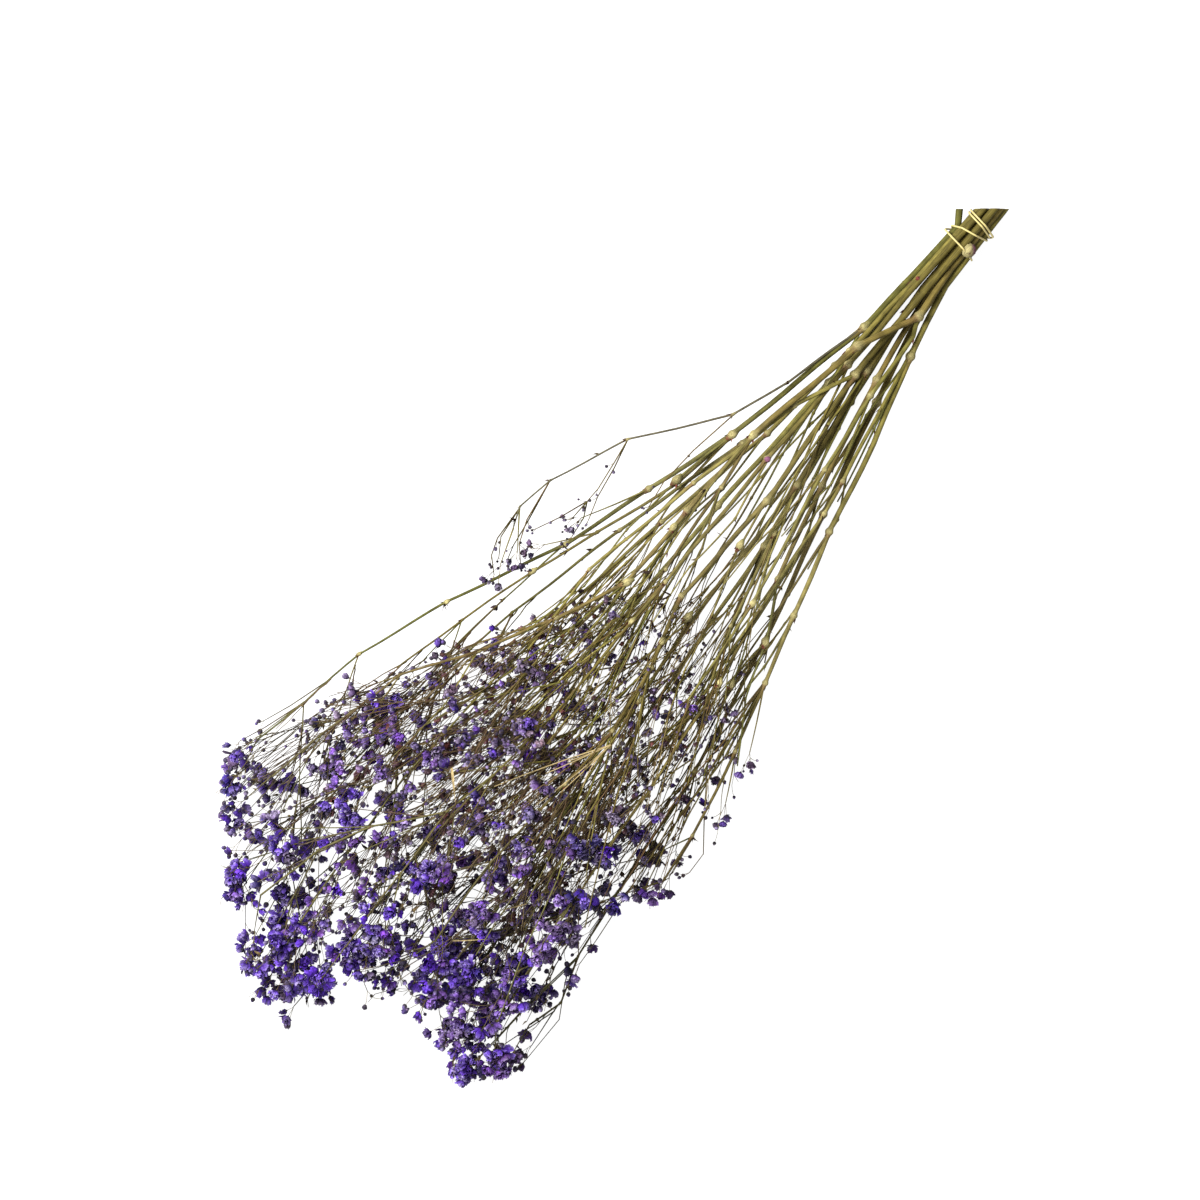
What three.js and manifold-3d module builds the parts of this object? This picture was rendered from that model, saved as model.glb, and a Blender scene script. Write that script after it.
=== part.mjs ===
// A bunch of dried, dyed gypsophila, lying on its side: twelve cut stems held near their cut ends by an
// elastic band that is wound round them, each stem forking at swollen knots into a spray of fine twigs
// tipped with small double blooms.
//
// Millimetres, +Z up. The stems run along X, with the cut ends at +X and the blooms at -X, and the
// bunch lies on the plane z = 0. Places are written from the middle of the cut, which the group's shift
// then moves so that the origin is under the middle of the whole bunch.
import * as THREE from "three";
import { mergeVertices } from "three/addons/utils/BufferGeometryUtils.js";
import Module from "manifold-3d";

const wasm = await Module();
wasm.setup();

// Driving dimensions
const ORIGIN_SHIFT = [319.9, 1.2, 0]; // from the middle of the cut
const CUT_NORMAL = new THREE.Vector3(0.754, 0.657, 0); // the stems are cut across by one slanting plane
const STEM_SIDES = 5;
const BRANCH_SIDES = 4;
const TWIG_SIDES = 3;
const STEM_TAPER = 0.0029; // loss of radius for each millimetre along a stem
const THINNEST_STEM = 0.75; // radius
const BRANCH_SHARE = 0.72; // a branch's radius as a share of its stem's at the knot
const BRANCH_TAPER = 0.0022;
const TWIG_RADIUS = 0.62;
const PEDICEL_RADIUS = 0.5;
const BIG_KNOT = 1.2; // a stem's knots swell out where its radius is more than this
const KNOT_SWELL = 1.42; // a knot's radius as a share of its stem's
const INTERNODE = 46; // between two knots of a twig
const TWIG_END_RADIUS = 0.85;
const RING_TURN = 0.3; // bearing of the first corner of every ring
const BLOOM_RADIUS = 3.4;
const BLOOM_DEPTH = 4.6;
const LOWEST_BLOOM = 0.6; // height of the lowest blooms, pressed flat below, as a share of their radius
const CLEARANCE = 0.35; // between the wood and blooms of two stems
const OWN_CLEARANCE = 0.15; // between the wood and blooms of one stem
const BLOOM_SMALL = 0.7; // the lowest blooms' share of the full size
const TWIGS = 170;
const TWIG_SPACING = 13;
const SEED = 20261;

// Each stem: its radius at the cut, and its points from the cut to the tip. A fourth number 1 marks a
// knot. Each branch: the number of the stem's point that it grows from, and its own points.
const STEMS = [
  {
    radius: 2.1,
    path: [[0, 10.8, 9.7], [-18, 4.6, 9.6], [-60, 5.6, 10.4], [-101, 7.5, 12, 1], [-202, 24.5, 18, 1],
      [-260, 41, 23, 1], [-318, 57, 28, 1], [-391, 88, 35, 1], [-449, 107, 38, 1], [-493, 113, 40, 1],
      [-528, 119, 42]],
    branches: [
      [3, [[-155, 20, 20.5], [-193, 32, 27, 1], [-246, 70, 36, 1],
        [-295, 89, 42, 1], [-319, 92, 44, 1], [-331, 87, 45]]],
      [4, [[-245, 30, 24, 1], [-300, 47, 36, 1], [-343, 61, 42, 1], [-393, 74, 46, 1], [-440, 84, 48]]],
    ],
  },
  {
    radius: 2.2,
    path: [[0, -7.5, 13.7], [-40, -9, 15], [-75, -13, 20, 1], [-95, -5, 29], [-113, 2.5, 34, 1],
      [-194, 15, 46, 1], [-255, 15, 54, 1], [-311, 14, 66, 1], [-355, 32, 74, 1], [-400, 54, 74, 1],
      [-442, 80, 66, 1], [-500, 92, 58, 1], [-538, 98, 52]],
    branches: [
      [2, [[-86, -18.5, 18], [-130, -23, 24, 1], [-182, -31, 33, 1], [-270, -51, 52, 1],
        [-340, -60, 66]]],
      [5, [[-231, 9, 48, 1], [-290, 2, 52, 1], [-350, 5, 60]]],
    ],
  },
  {
    radius: 2.25,
    path: [[0, -5.1, 17.9], [-60, -5.8, 19.2], [-127, -7.5, 25, 1], [-219, -17, 44, 1],
      [-296, -16, 60, 1], [-340, -30, 70, 1], [-384, -38, 79, 1], [-426, -37, 86, 1],
      [-490, -34, 84, 1], [-548, -40, 74]],
    branches: [
      [2, [[-138, -1, 30], [-165, 7, 35, 1], [-240, 24, 50, 1], [-320, 36, 60, 1], [-380, 32, 68]]],
      [6, [[-420, -58, 84, 1], [-470, -66, 82]]],
    ],
  },
  {
    radius: 1.95,
    path: [[0, -0.3, 17.8], [-60, 0.5, 19.4], [-125, -0.5, 25.5, 1], [-200, -1, 44, 1],
      [-296, -3, 69, 1], [-400, -5, 91, 1], [-450, -1, 97, 1], [-484, 5, 99, 1], [-520, 33, 94, 1],
      [-552, 48, 84, 1], [-596, 56, 66]],
    branches: [[7, [[-530, 2, 92, 1], [-585, -2, 76]]]],
  },
  {
    radius: 2.2,
    path: [[0, -2.7, 13.7], [-60, -4, 14.7], [-120, -11, 18, 1], [-200, -25, 28, 1], [-303, -30, 44, 1],
      [-360, -38, 52, 1], [-420, -46, 58, 1], [-490, -54, 60, 1], [-555, -58, 52]],
    branches: [[3, [[-231, -34, 34, 1], [-290, -50, 46, 1], [-325, -64, 52]]]],
  },
  {
    radius: 1.9,
    path: [[0, 2.05, 13.7], [-60, 2.5, 14.8], [-118, 4.5, 19, 1], [-188, 9.5, 29, 1], [-270, 22, 42, 1],
      [-345, 32, 52, 1], [-410, 36, 58, 1], [-480, 38, 62, 1], [-540, 34, 60, 1], [-596, 28, 50]],
    branches: [],
  },
  {
    radius: 2.15,
    path: [[0, -9.8, 9.6], [-50, -13.4, 10.6], [-96, -25, 13, 1], [-150, -43, 18], [-208, -58, 22, 1],
      [-260, -75, 25, 1], [-302, -88, 28, 1], [-345, -102, 30, 1], [-400, -116, 31, 1],
      [-432, -120, 30]],
    branches: [[2, [[-130, -32, 20], [-180, -44, 28, 1], [-202, -48, 31, 1], [-270, -57, 38, 1],
      [-340, -72, 44]]]],
  },
  {
    radius: 2.05,
    path: [[0, -5.1, 9.6], [-60, -8, 10.4], [-120, -19, 15, 1], [-190, -36, 23, 1], [-250, -53, 32, 1],
      [-325, -68, 45, 1], [-400, -78, 58, 1], [-470, -86, 62, 1], [-520, -94, 54, 1], [-560, -100, 44]],
    branches: [],
  },
  {
    radius: 2.2,
    path: [[0, -7.45, 5.5], [-30, -8.6, 5.6], [-75, -14, 3.4], [-130, -28, 2, 1], [-202, -48, 6, 1],
      [-283, -72, 12, 1], [-370, -92, 18, 1], [-455, -104, 19, 1], [-500, -112, 18, 1],
      [-528, -122, 16, 1], [-550, -117, 15]],
    branches: [],
  },
  {
    radius: 2.15,
    path: [[0, -2.7, 5.5], [-30, -3.3, 5.6], [-75, -5.6, 3.6], [-140, -16, 2, 1], [-240, -34, 8, 1],
      [-330, -44, 14, 1], [-400, -52, 20, 1], [-470, -60, 20, 1], [-530, -69, 18, 1], [-560, -74, 15]],
    branches: [],
  },
  {
    radius: 2.2,
    path: [[0, 2.05, 5.5], [-30, 1.9, 5.6], [-75, 1.5, 3.6], [-140, 1, 2, 1], [-240, 3, 9, 1],
      [-330, 2, 15, 1], [-400, 5, 21, 1], [-470, 4, 22, 1], [-540, 0, 20, 1], [-612, -2, 14]],
    branches: [],
  },
  {
    radius: 1.85,
    path: [[0, -0.3, 9.6], [-60, 0.3, 9.8], [-130, 8, 10, 1], [-202, 17, 12, 1], [-290, 38, 17, 1],
      [-370, 54, 20, 1], [-440, 64, 22, 1], [-510, 68, 23, 1], [-545, 70, 20, 1], [-570, 71, 17]],
    branches: [],
  },
];

// The elastic band: its thickness, its space from the stems, and its place along the bunch at each half
// turn, from the +Y side over the top. The last half turn goes back under the others, held out by its
// lift. Its middle turns leave out the first stem, whose cut end is bent away.
const BAND_RADIUS = 0.6;
const BAND_SPACE = 0.35;
const BAND_LIFT = 1.55;
const BAND_PLACES = [-24.5, -28, -20, -13, -6.6, -10.6, -4.8, -8.8];
const BAND_RINGS = 72;
const BAND_SIDES = 5;

// Outline of the bloomed head seen from above, and its height along the bunch
const HEAD_OUTLINE = [
  [-290, -55], [-296, 16], [-330, 30], [-380, 44], [-402, 66], [-440, 76], [-468, 94], [-490, 112],
  [-530, 122], [-552, 126], [-568, 117], [-582, 106], [-590, 90], [-604, 82], [-618, 74], [-602, 60],
  [-604, 48], [-632, 50], [-642, 38], [-638, 26], [-650, 16], [-640, 4], [-628, -10], [-600, -12],
  [-594, -24], [-590, -40], [-582, -50], [-584, -62], [-574, -70], [-578, -78], [-598, -80],
  [-602, -96], [-600, -112], [-590, -124], [-574, -130], [-540, -118], [-516, -118], [-496, -108],
  [-468, -110], [-448, -112], [-446, -126], [-430, -126], [-416, -108], [-390, -108], [-352, -108],
  [-330, -98], [-306, -78],
];
const HEAD_HEIGHT = [
  [-290, 76], [-350, 92], [-420, 108], [-500, 110], [-560, 100], [-610, 76], [-655, 44],
];
const HEAD_MIDDLE = -3; // the height falls off on both sides of this line
const HEAD_HALF_WIDTH = 132;

// Tips that make the head's rim, each with its height
const RIM = [
  [-644, 15, 22], [-636, 36, 36], [-630, 46, 28], [-612, 68, 30], [-598, 76, 42], [-584, 92, 26],
  [-574, 102, 36], [-560, 114, 34], [-544, 121, 44], [-624, -4, 14], [-618, 12, 34], [-592, -16, 22],
  [-594, -31, 40], [-582, -44, 26], [-580, -58, 44], [-566, -70, 30], [-594, -78, 24], [-592, -94, 36],
  [-596, -107, 18], [-352, 76, 46], [-338, 66, 40], [-312, 60, 40], [-586, -121, 26], [-572, -126, 3],
  [-514, -115, 28], [-476, -108, 24], [-440, -122, 22], [-448, -116, 34], [-384, -118, 26],
  [-352, -109, 34], [-366, -100, 20], [-590, 30, 3], [-556, 90, 3], [-430, -60, 3], [-470, 70, 3],
  [-500, -100, 3],
];

let drawn = SEED;
function random() {
  drawn = (drawn * 16807) % 2147483647;
  return drawn / 2147483647;
}

function between(low, high) {
  return low + (high - low) * random();
}

function insideOutline(x, y) {
  let inside = false;
  HEAD_OUTLINE.forEach(([x1, y1], i) => {
    const [x2, y2] = HEAD_OUTLINE[(i + 1) % HEAD_OUTLINE.length];
    if (y1 > y !== y2 > y && x < ((x2 - x1) * (y - y1)) / (y2 - y1) + x1) inside = !inside;
  });
  return inside;
}

function headHeight(x, y) {
  let i = 0;
  while (i < HEAD_HEIGHT.length - 2 && x < HEAD_HEIGHT[i + 1][0]) i += 1;
  const [x1, h1] = HEAD_HEIGHT[i];
  const [x2, h2] = HEAD_HEIGHT[i + 1];
  const share = Math.min(1, Math.max(0, (x - x1) / (x2 - x1)));
  const side = Math.min(1, Math.abs(y - HEAD_MIDDLE) / HEAD_HALF_WIDTH);
  return (h1 + (h2 - h1) * share) * (1 - 0.62 * side * side);
}

// Smallest distance between the straight pieces p1 to q1 and p2 to q2
function distance(p1, q1, p2, q2) {
  const d1 = q1.clone().sub(p1);
  const d2 = q2.clone().sub(p2);
  const r = p1.clone().sub(p2);
  const a = d1.dot(d1);
  const e = d2.dot(d2);
  const b = d1.dot(d2);
  const c = d1.dot(r);
  const f = d2.dot(r);
  const area = a * e - b * b;
  let s = area > 1e-6 ? Math.min(1, Math.max(0, (b * f - c * e) / area)) : 0;
  const t = Math.min(1, Math.max(0, (b * s + f) / e));
  s = Math.min(1, Math.max(0, (b * t - c) / a));
  return p1.clone().addScaledVector(d1, s).distanceTo(p2.clone().addScaledVector(d2, t));
}

// Growth. A run is a length of wood through some points, and a fork is a place that more can grow from.
// Each leg of wood and each bloom is also kept as a round-ended rod, to hold the next ones clear of it.
// Rods that share a joint may touch.
const runs = [];
const forks = [];
const rods = [];
const tips = [];
let joints = 0;

function newJoint() {
  joints += 1;
  return joints;
}

function isClear(stem, a, b, radius, from, to) {
  return rods.every((rod) => {
    const joined = rod.stem === stem && (rod.from === from || rod.to === from || rod.from === to);
    const room = radius + rod.radius + (rod.stem === stem ? OWN_CLEARANCE : CLEARANCE);
    return joined || distance(a, b, rod.a, rod.b) > room;
  });
}

function addRod(stem, a, b, radius, from, to) {
  rods.push({ stem, a, b, radius, from, to });
}

// The end of a leg from a, moved sideways from b by the least that clears the leg and its knot
function bentClear(stem, a, b, radius, knot, from) {
  for (let step = 0; step < 9; step += 1) {
    for (let turn = 0; turn < (step ? 8 : 1); turn += 1) {
      const angle = (turn * Math.PI) / 4 + step;
      const reach = step * 1.3;
      const end = new THREE.Vector3(b.x, b.y + Math.cos(angle) * reach, b.z + Math.sin(angle) * reach);
      const past = end.clone().lerp(a, -0.01);
      const low = end.z < 0.8 * radius;
      const legClear = !low && isClear(stem, a, end, radius, from, -1);
      if (legClear && isClear(stem, end, past, knot, from, -1)) return end;
    }
  }
  return null;
}

// Where the slanting cut is along the bunch, at some place across it
function cutAt(y) {
  return -(CUT_NORMAL.y * y) / CUT_NORMAL.x;
}

// A stem from the cut, or with a start, one of its branches
function growRun(stem, start, joint, list, radius, taper, sides) {
  const points = start ? [start] : [];
  const radii = start ? [radius] : [];
  const knots = start ? [0] : [];
  let last = joint;
  for (const [x, y, z, knot] of list) {
    const before = points.length ? points[points.length - 1] : null;
    const lost = before ? taper * (before.x - x) : 0;
    const thick = before ? Math.max(THINNEST_STEM, radii[radii.length - 1] - lost) : radius;
    let point = new THREE.Vector3(before ? x : cutAt(y), y, z);
    if (before) {
      const next = newJoint();
      const swollen = thick * (knot ? KNOT_SWELL : 1);
      point = bentClear(stem, before, point, radii[radii.length - 1], swollen, last);
      if (!point) break;
      addRod(stem, before, point, radii[radii.length - 1], last, next);
      addRod(stem, point, point.clone().lerp(before, 0.01), swollen, next, next);
      last = next;
    }
    points.push(point);
    radii.push(thick);
    knots.push(knot || 0);
    if (knot) {
      const heading = point.clone().sub(before).normalize();
      forks.push({ stem, at: point, heading, radius: thick, joint: last, room: 2 });
    }
  }
  const tip = points.length - 1;
  const heading = points[tip].clone().sub(points[tip - 1]).normalize();
  const end = { stem, at: points[tip], heading, radius: radii[tip], joint: last, room: 1 };
  if (!knots[tip]) {
    forks.push(end);
    tips.push(end);
  }
  runs.push({ stem, points, radii, knots, sides });
}

STEMS.forEach(({ radius, path }, stem) => {
  growRun(stem, null, newJoint(), path, radius, STEM_TAPER, STEM_SIDES);
});
STEMS.forEach(({ branches }, stem) => {
  branches.forEach(([from, list]) => {
    const main = runs[stem];
    const start = main.points[from];
    const fork = forks.find((f) => f.at === start);
    growRun(stem, start, fork.joint, list, main.radii[from] * BRANCH_SHARE, BRANCH_TAPER, BRANCH_SIDES);
  });
});

// A unit vector square to a direction, from which bearings round it are taken
function sideOf(along) {
  return new THREE.Vector3(0, 0, 1).cross(along).normalize();
}

// A direction turned from a heading by an angle, at some bearing round it
function turned(heading, angle, bearing) {
  const side = sideOf(heading);
  const up = heading.clone().cross(side);
  const round = side.multiplyScalar(Math.cos(bearing)).addScaledVector(up, Math.sin(bearing));
  return heading.clone().multiplyScalar(Math.cos(angle)).addScaledVector(round, Math.sin(angle));
}

// A bloom on its own stalk, which leaves a twig's end through one of its three faces. Blooms low in the
// bunch are smaller.
function growBloom(fork, face, direction, length) {
  const at = fork.at.clone().addScaledVector(direction, length);
  const size = BLOOM_SMALL + (1 - BLOOM_SMALL) * Math.min(1, Math.max(0, (-at.x - 330) / 140));
  const radius = BLOOM_RADIUS * size;
  const depth = BLOOM_DEPTH * size;
  if (at.z < LOWEST_BLOOM * radius) at.z = LOWEST_BLOOM * radius;
  const neck = at.clone().addScaledVector(direction, -depth);
  const middle = at.clone().addScaledVector(direction, -0.35 * depth);
  const end = middle.clone().addScaledVector(direction, 0.1);
  const tip = newJoint();
  const clear = isClear(fork.stem, middle, end, radius, -2, -2)
    && isClear(fork.stem, fork.at, neck, PEDICEL_RADIUS, fork.joint, tip);
  if (!clear) return false;
  addRod(fork.stem, middle, end, radius, -3, -3);
  addRod(fork.stem, fork.at, neck, PEDICEL_RADIUS, fork.joint, tip);
  fork.blooms[face] = { at, neck, direction, radius, depth };
  return true;
}

// Up to three blooms round a twig's end, each where there is room for it
function growSpray(fork, least, most) {
  fork.blooms = [null, null, null];
  [0, 1, 2].forEach((face) => {
    for (let attempt = 0; attempt < 7; attempt += 1) {
      const bearing = RING_TURN + ((face + 0.5) * 2 * Math.PI) / 3 + between(-0.45, 0.45);
      const direction = turned(fork.heading, between(least, most), bearing);
      if (growBloom(fork, face, direction, between(9, 17))) break;
    }
  });
  fork.room = 0;
}

// A twig to a place, from the fork that reaches it best, with knots where it is long
function growTwig(place) {
  const reachable = [];
  forks.forEach((fork) => {
    const toward = place.clone().sub(fork.at);
    const length = toward.length();
    const straightness = toward.dot(fork.heading) / length;
    if (fork.room > 0 && toward.x < -0.6 * length && length > 16 && length < 150 && straightness > 0.7) {
      reachable.push({ fork, cost: length * (1 + 3.5 * (1 - straightness)) });
    }
  });
  reachable.sort((a, b) => a.cost - b.cost);
  for (const { fork } of reachable.slice(0, 7)) {
    const legs = Math.max(1, Math.round(fork.at.distanceTo(place) / INTERNODE));
    const radius = Math.max(TWIG_RADIUS, Math.min(fork.radius * 0.8, 1));
    const points = [fork.at];
    const tried = [];
    let joint = fork.joint;
    for (let leg = 1; leg <= legs; leg += 1) {
      const aim = fork.at.clone().lerp(place, leg / legs);
      if (leg < legs) aim.add(new THREE.Vector3(between(-3, 3), between(-4, 4), between(-4, 4)));
      const end = bentClear(fork.stem, points[leg - 1], aim, radius, radius, joint);
      if (!end) break;
      const next = newJoint();
      tried.push({ a: points[leg - 1], b: end, from: joint, to: next });
      points.push(end);
      joint = next;
    }
    if (points.length <= legs) continue;
    fork.room -= 1;
    tried.forEach(({ a, b, from, to }) => addRod(fork.stem, a, b, radius, from, to));
    const made = tried.map(({ a, b, to }) => {
      const heading = b.clone().sub(a).normalize();
      return { stem: fork.stem, at: b, heading, radius, joint: to, room: 1 };
    });
    forks.push(...made);
    runs.push({
      stem: fork.stem,
      points,
      radii: points.map(() => radius),
      knots: points.map(() => 0),
      sides: TWIG_SIDES,
      end: made.pop(),
    });
    return forks[forks.length - 1];
  }
  return null;
}

// Places for the twigs' ends: those at the rim first, then ones spread through the head
const places = RIM.map(([x, y, z]) => ({ at: new THREE.Vector3(x + 12, y, z), rim: true }));
for (let attempt = 0; attempt < 6000 && places.length < TWIGS; attempt += 1) {
  const x = between(-640, -320);
  const y = between(-128, 124);
  const z = between(6, 112);
  const at = new THREE.Vector3(x, y, z);
  const crowded = places.some((other) => other.at.distanceTo(at) < TWIG_SPACING);
  if (!crowded && insideOutline(x - 8, y) && z < headHeight(x, y) - 6) places.push({ at, rim: false });
}
places.sort((a, b) => b.at.x - a.at.x);
places.forEach(({ at, rim }) => {
  const fork = growTwig(at);
  if (fork) growSpray(fork, rim ? 0.25 : 0.4, rim ? 0.6 : 0.85);
});
tips.filter((tip) => tip.room > 0).forEach((tip) => {
  const fork = growTwig(tip.at.clone().addScaledVector(tip.heading, 24));
  if (fork) growSpray(fork, 0.35, 0.7);
});

// Faces between rings of points, each ring to the next. The first ring can be closed over.
function skin(rings, firstClosed) {
  const faces = [];
  for (let i = 0; i + 1 < rings.length; i += 1) {
    const here = rings[i];
    const next = rings[i + 1];
    const most = Math.max(here.length, next.length);
    for (let k = 0; k < most; k += 1) {
      const a = here[Math.floor((k * here.length) / most)];
      const b = here[Math.floor(((k + 1) * here.length) / most) % here.length];
      const c = next[Math.floor((k * next.length) / most)];
      const d = next[Math.floor(((k + 1) * next.length) / most) % next.length];
      if (a !== b) faces.push(a, b, c);
      if (c !== d) faces.push(b, d, c);
    }
  }
  const first = rings[0];
  for (let k = 1; firstClosed && k + 1 < first.length; k += 1) {
    faces.push(first[0], first[k + 1], first[k]);
  }
  return faces;
}

function ring(centre, along, side, radius, sides, turn) {
  const up = along.clone().cross(side);
  return Array.from({ length: sides }, (_, k) => {
    const angle = (2 * Math.PI * k) / sides + turn;
    const offset = side.clone().multiplyScalar(Math.cos(angle)).addScaledVector(up, Math.sin(angle));
    return centre.clone().addScaledVector(offset, radius);
  });
}

// A bloom's stalk goes out from a face of the twig's end and widens through the calyx to a ruffled rim
// round a low crown.
function bloomFaces(root, { at, neck, direction, radius, depth }) {
  const middle = root[0].clone().add(root[1]).add(root[2]).divideScalar(3);
  const narrow = root.map((p) => {
    const out = p.clone().sub(middle);
    out.addScaledVector(direction, -out.dot(direction)).normalize();
    return neck.clone().addScaledVector(out, PEDICEL_RADIUS);
  });
  const side = narrow[0].clone().sub(neck).normalize();
  const rim = ring(at.clone().addScaledVector(direction, -0.42 * depth), direction, side, radius, 5, 0);
  rim.forEach((p, k) => p.addScaledVector(direction, k % 2 ? 0.16 * depth : -0.1 * depth));
  return skin([root, narrow, rim, [at]], false);
}

// A run of wood: it starts from a point inside the knot it grows from, or on the slanting cut, swells
// at its knots, and ends in a blunt point, or in blooms.
function woodFaces({ points, radii, knots, sides, end }) {
  const rings = [];
  const tip = points.length - 1;
  const along = (i) => points[Math.min(i + 1, tip)].clone().sub(points[Math.max(i - 1, 0)]).normalize();
  const addRing = (i, shift, radius) => {
    const centre = points[i].clone().addScaledVector(along(i), shift);
    rings.push(ring(centre, along(i), sideOf(along(i)), radius, sides, RING_TURN));
  };
  if (sides === STEM_SIDES) {
    addRing(0, 0, radii[0]);
    rings[0].forEach((p) => {
      p.x = cutAt(p.y);
    });
  } else {
    const ahead = points[1].clone().sub(points[0]).normalize();
    const start = points[0].clone().addScaledVector(ahead, 2.2 * radii[0]);
    rings.push([points[0]]);
    rings.push(ring(start, ahead, sideOf(ahead), radii[0], sides, RING_TURN));
  }
  for (let i = 1; i < tip; i += 1) {
    const big = knots[i] && radii[i] > BIG_KNOT;
    const small = knots[i] || sides === TWIG_SIDES ? 1.2 : 1;
    if (big) addRing(i, -1.9 * radii[i], radii[i]);
    addRing(i, 0, radii[i] * (big ? KNOT_SWELL : small));
    if (big) addRing(i, 1.7 * radii[i], radii[i]);
  }
  const last = sides === TWIG_SIDES ? TWIG_END_RADIUS : radii[tip] * 1.2;
  addRing(tip, 0, last);
  const point = points[tip].clone().addScaledVector(along(tip), 1.4 * last);
  if (!end || !end.blooms) return skin([...rings, [point]], true);
  const faces = skin(rings, true);
  const corners = rings[rings.length - 1];
  [0, 1, 2].forEach((face) => {
    const root = [corners[face], corners[(face + 1) % 3], point];
    const bloom = end.blooms[face];
    faces.push(...(bloom ? bloomFaces(root, bloom) : root));
  });
  return faces;
}

function solid(faces) {
  const geometry = new THREE.BufferGeometry();
  const positions = faces.flatMap((p) => [p.x, p.y, p.z]);
  geometry.setAttribute("position", new THREE.Float32BufferAttribute(positions, 3));
  return bodyOf(geometry);
}

function bodyOf(geometry) {
  geometry.deleteAttribute("normal");
  geometry.deleteAttribute("uv");
  const joined = mergeVertices(geometry);
  return new wasm.Manifold(new wasm.Mesh({
    numProp: 3,
    vertProperties: joined.attributes.position.array,
    triVerts: new Uint32Array(joined.index.array),
  }));
}

function meshOf(body, name, material) {
  const { vertProperties, triVerts } = body.getMesh();
  const geometry = new THREE.BufferGeometry();
  geometry.setAttribute("position", new THREE.BufferAttribute(vertProperties, 3));
  geometry.setIndex(new THREE.BufferAttribute(triVerts, 1));
  geometry.translate(...ORIGIN_SHIFT);
  geometry.computeVertexNormals();
  const mesh = new THREE.Mesh(geometry, material);
  mesh.name = name;
  return mesh;
}

const group = new THREE.Group();
group.name = "dried_gypsophila";

// The surface that the bunch lies on presses its lowest knots and blooms flat
const surface = bodyOf(new THREE.BoxGeometry(900, 500, 20).translate(-300, 0, -10));
STEMS.forEach((_, stem) => {
  const parts = runs.filter((run) => run.stem === stem).map((run) => solid(woodFaces(run)));
  const body = parts.reduce((whole, part) => whole.add(part)).subtract(surface);
  const material = new THREE.MeshStandardMaterial({ color: 0x76703c, roughness: 0.8, metalness: 0 });
  group.add(meshOf(body, `spray_${String(stem + 1).padStart(2, "0")}`, material));
});

// Where a stem is at some place along the bunch
function stemAt(stem, x) {
  const { points, radii } = runs[stem];
  let i = 0;
  while (points[i + 1].x > x) i += 1;
  const share = Math.max(0, (x - points[i].x) / (points[i + 1].x - points[i].x));
  return { middle: points[i].clone().lerp(points[i + 1], share), radius: radii[i] };
}

// The band's middle line lies on the outermost stems, seen along the bunch
function bandPoint(turn) {
  const half = Math.floor(turn * 2);
  const share = turn * 2 - half;
  const x = BAND_PLACES[half % 8] * (1 - share) + BAND_PLACES[(half + 1) % 8] * share;
  const out = new THREE.Vector3(0, Math.cos(turn * 2 * Math.PI), Math.sin(turn * 2 * Math.PI));
  const rise = Math.min(1, Math.max(0, (turn - 3.3) / 0.2));
  const fall = Math.min(1, Math.max(0, (turn < 1 ? 0.12 - turn : 4.12 - turn) / 0.14));
  const lift = BAND_LIFT * (turn < 1 ? fall : Math.min(rise, fall));
  const held = STEMS.map((_, stem) => stem).filter((stem) => stem > 0 || turn < 1.5 || turn > 3.5);
  const reaches = held.map((stem) => {
    const { middle, radius } = stemAt(stem, x);
    const point = middle.addScaledVector(out, radius + BAND_SPACE + BAND_RADIUS + lift);
    point.x = x;
    return point;
  });
  reaches.sort((a, b) => b.dot(out) - a.dot(out));
  return { point: reaches[0], out };
}

const bandLine = Array.from({ length: BAND_RINGS }, (_, i) => bandPoint((4 * i) / BAND_RINGS));
const bandFaces = [];
bandLine.forEach((_, i) => {
  const [here, next] = [i, i + 1].map((n) => {
    const { point, out } = bandLine[n % BAND_RINGS];
    const before = bandLine[(n + BAND_RINGS - 1) % BAND_RINGS].point;
    const along = bandLine[(n + 1) % BAND_RINGS].point.clone().sub(before).normalize();
    const side = out.clone().addScaledVector(along, -out.dot(along)).normalize();
    return ring(point, along, side, BAND_RADIUS, BAND_SIDES, Math.PI / BAND_SIDES);
  });
  bandFaces.push(...skin([here, next], false));
});
const bandMaterial = new THREE.MeshStandardMaterial({ color: 0xd9cf96, roughness: 0.55, metalness: 0 });
group.add(meshOf(solid(bandFaces), "elastic_band", bandMaterial));

export default group;
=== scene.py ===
"""Looks of the dried gypsophila: a bunch of twelve cut stems, held by an elastic band, whose forks end in
small double blooms dyed violet.

The growth is the one that the part's solids have, in millimetres from the middle of the cut. Finer twigs,
stalks, blooms and buds are then grown from it, and each stem's wood and blooms are built as two meshes."""

import math
from itertools import count
from types import SimpleNamespace as Record

import bpy
import numpy as np
from mathutils import Matrix


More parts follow.
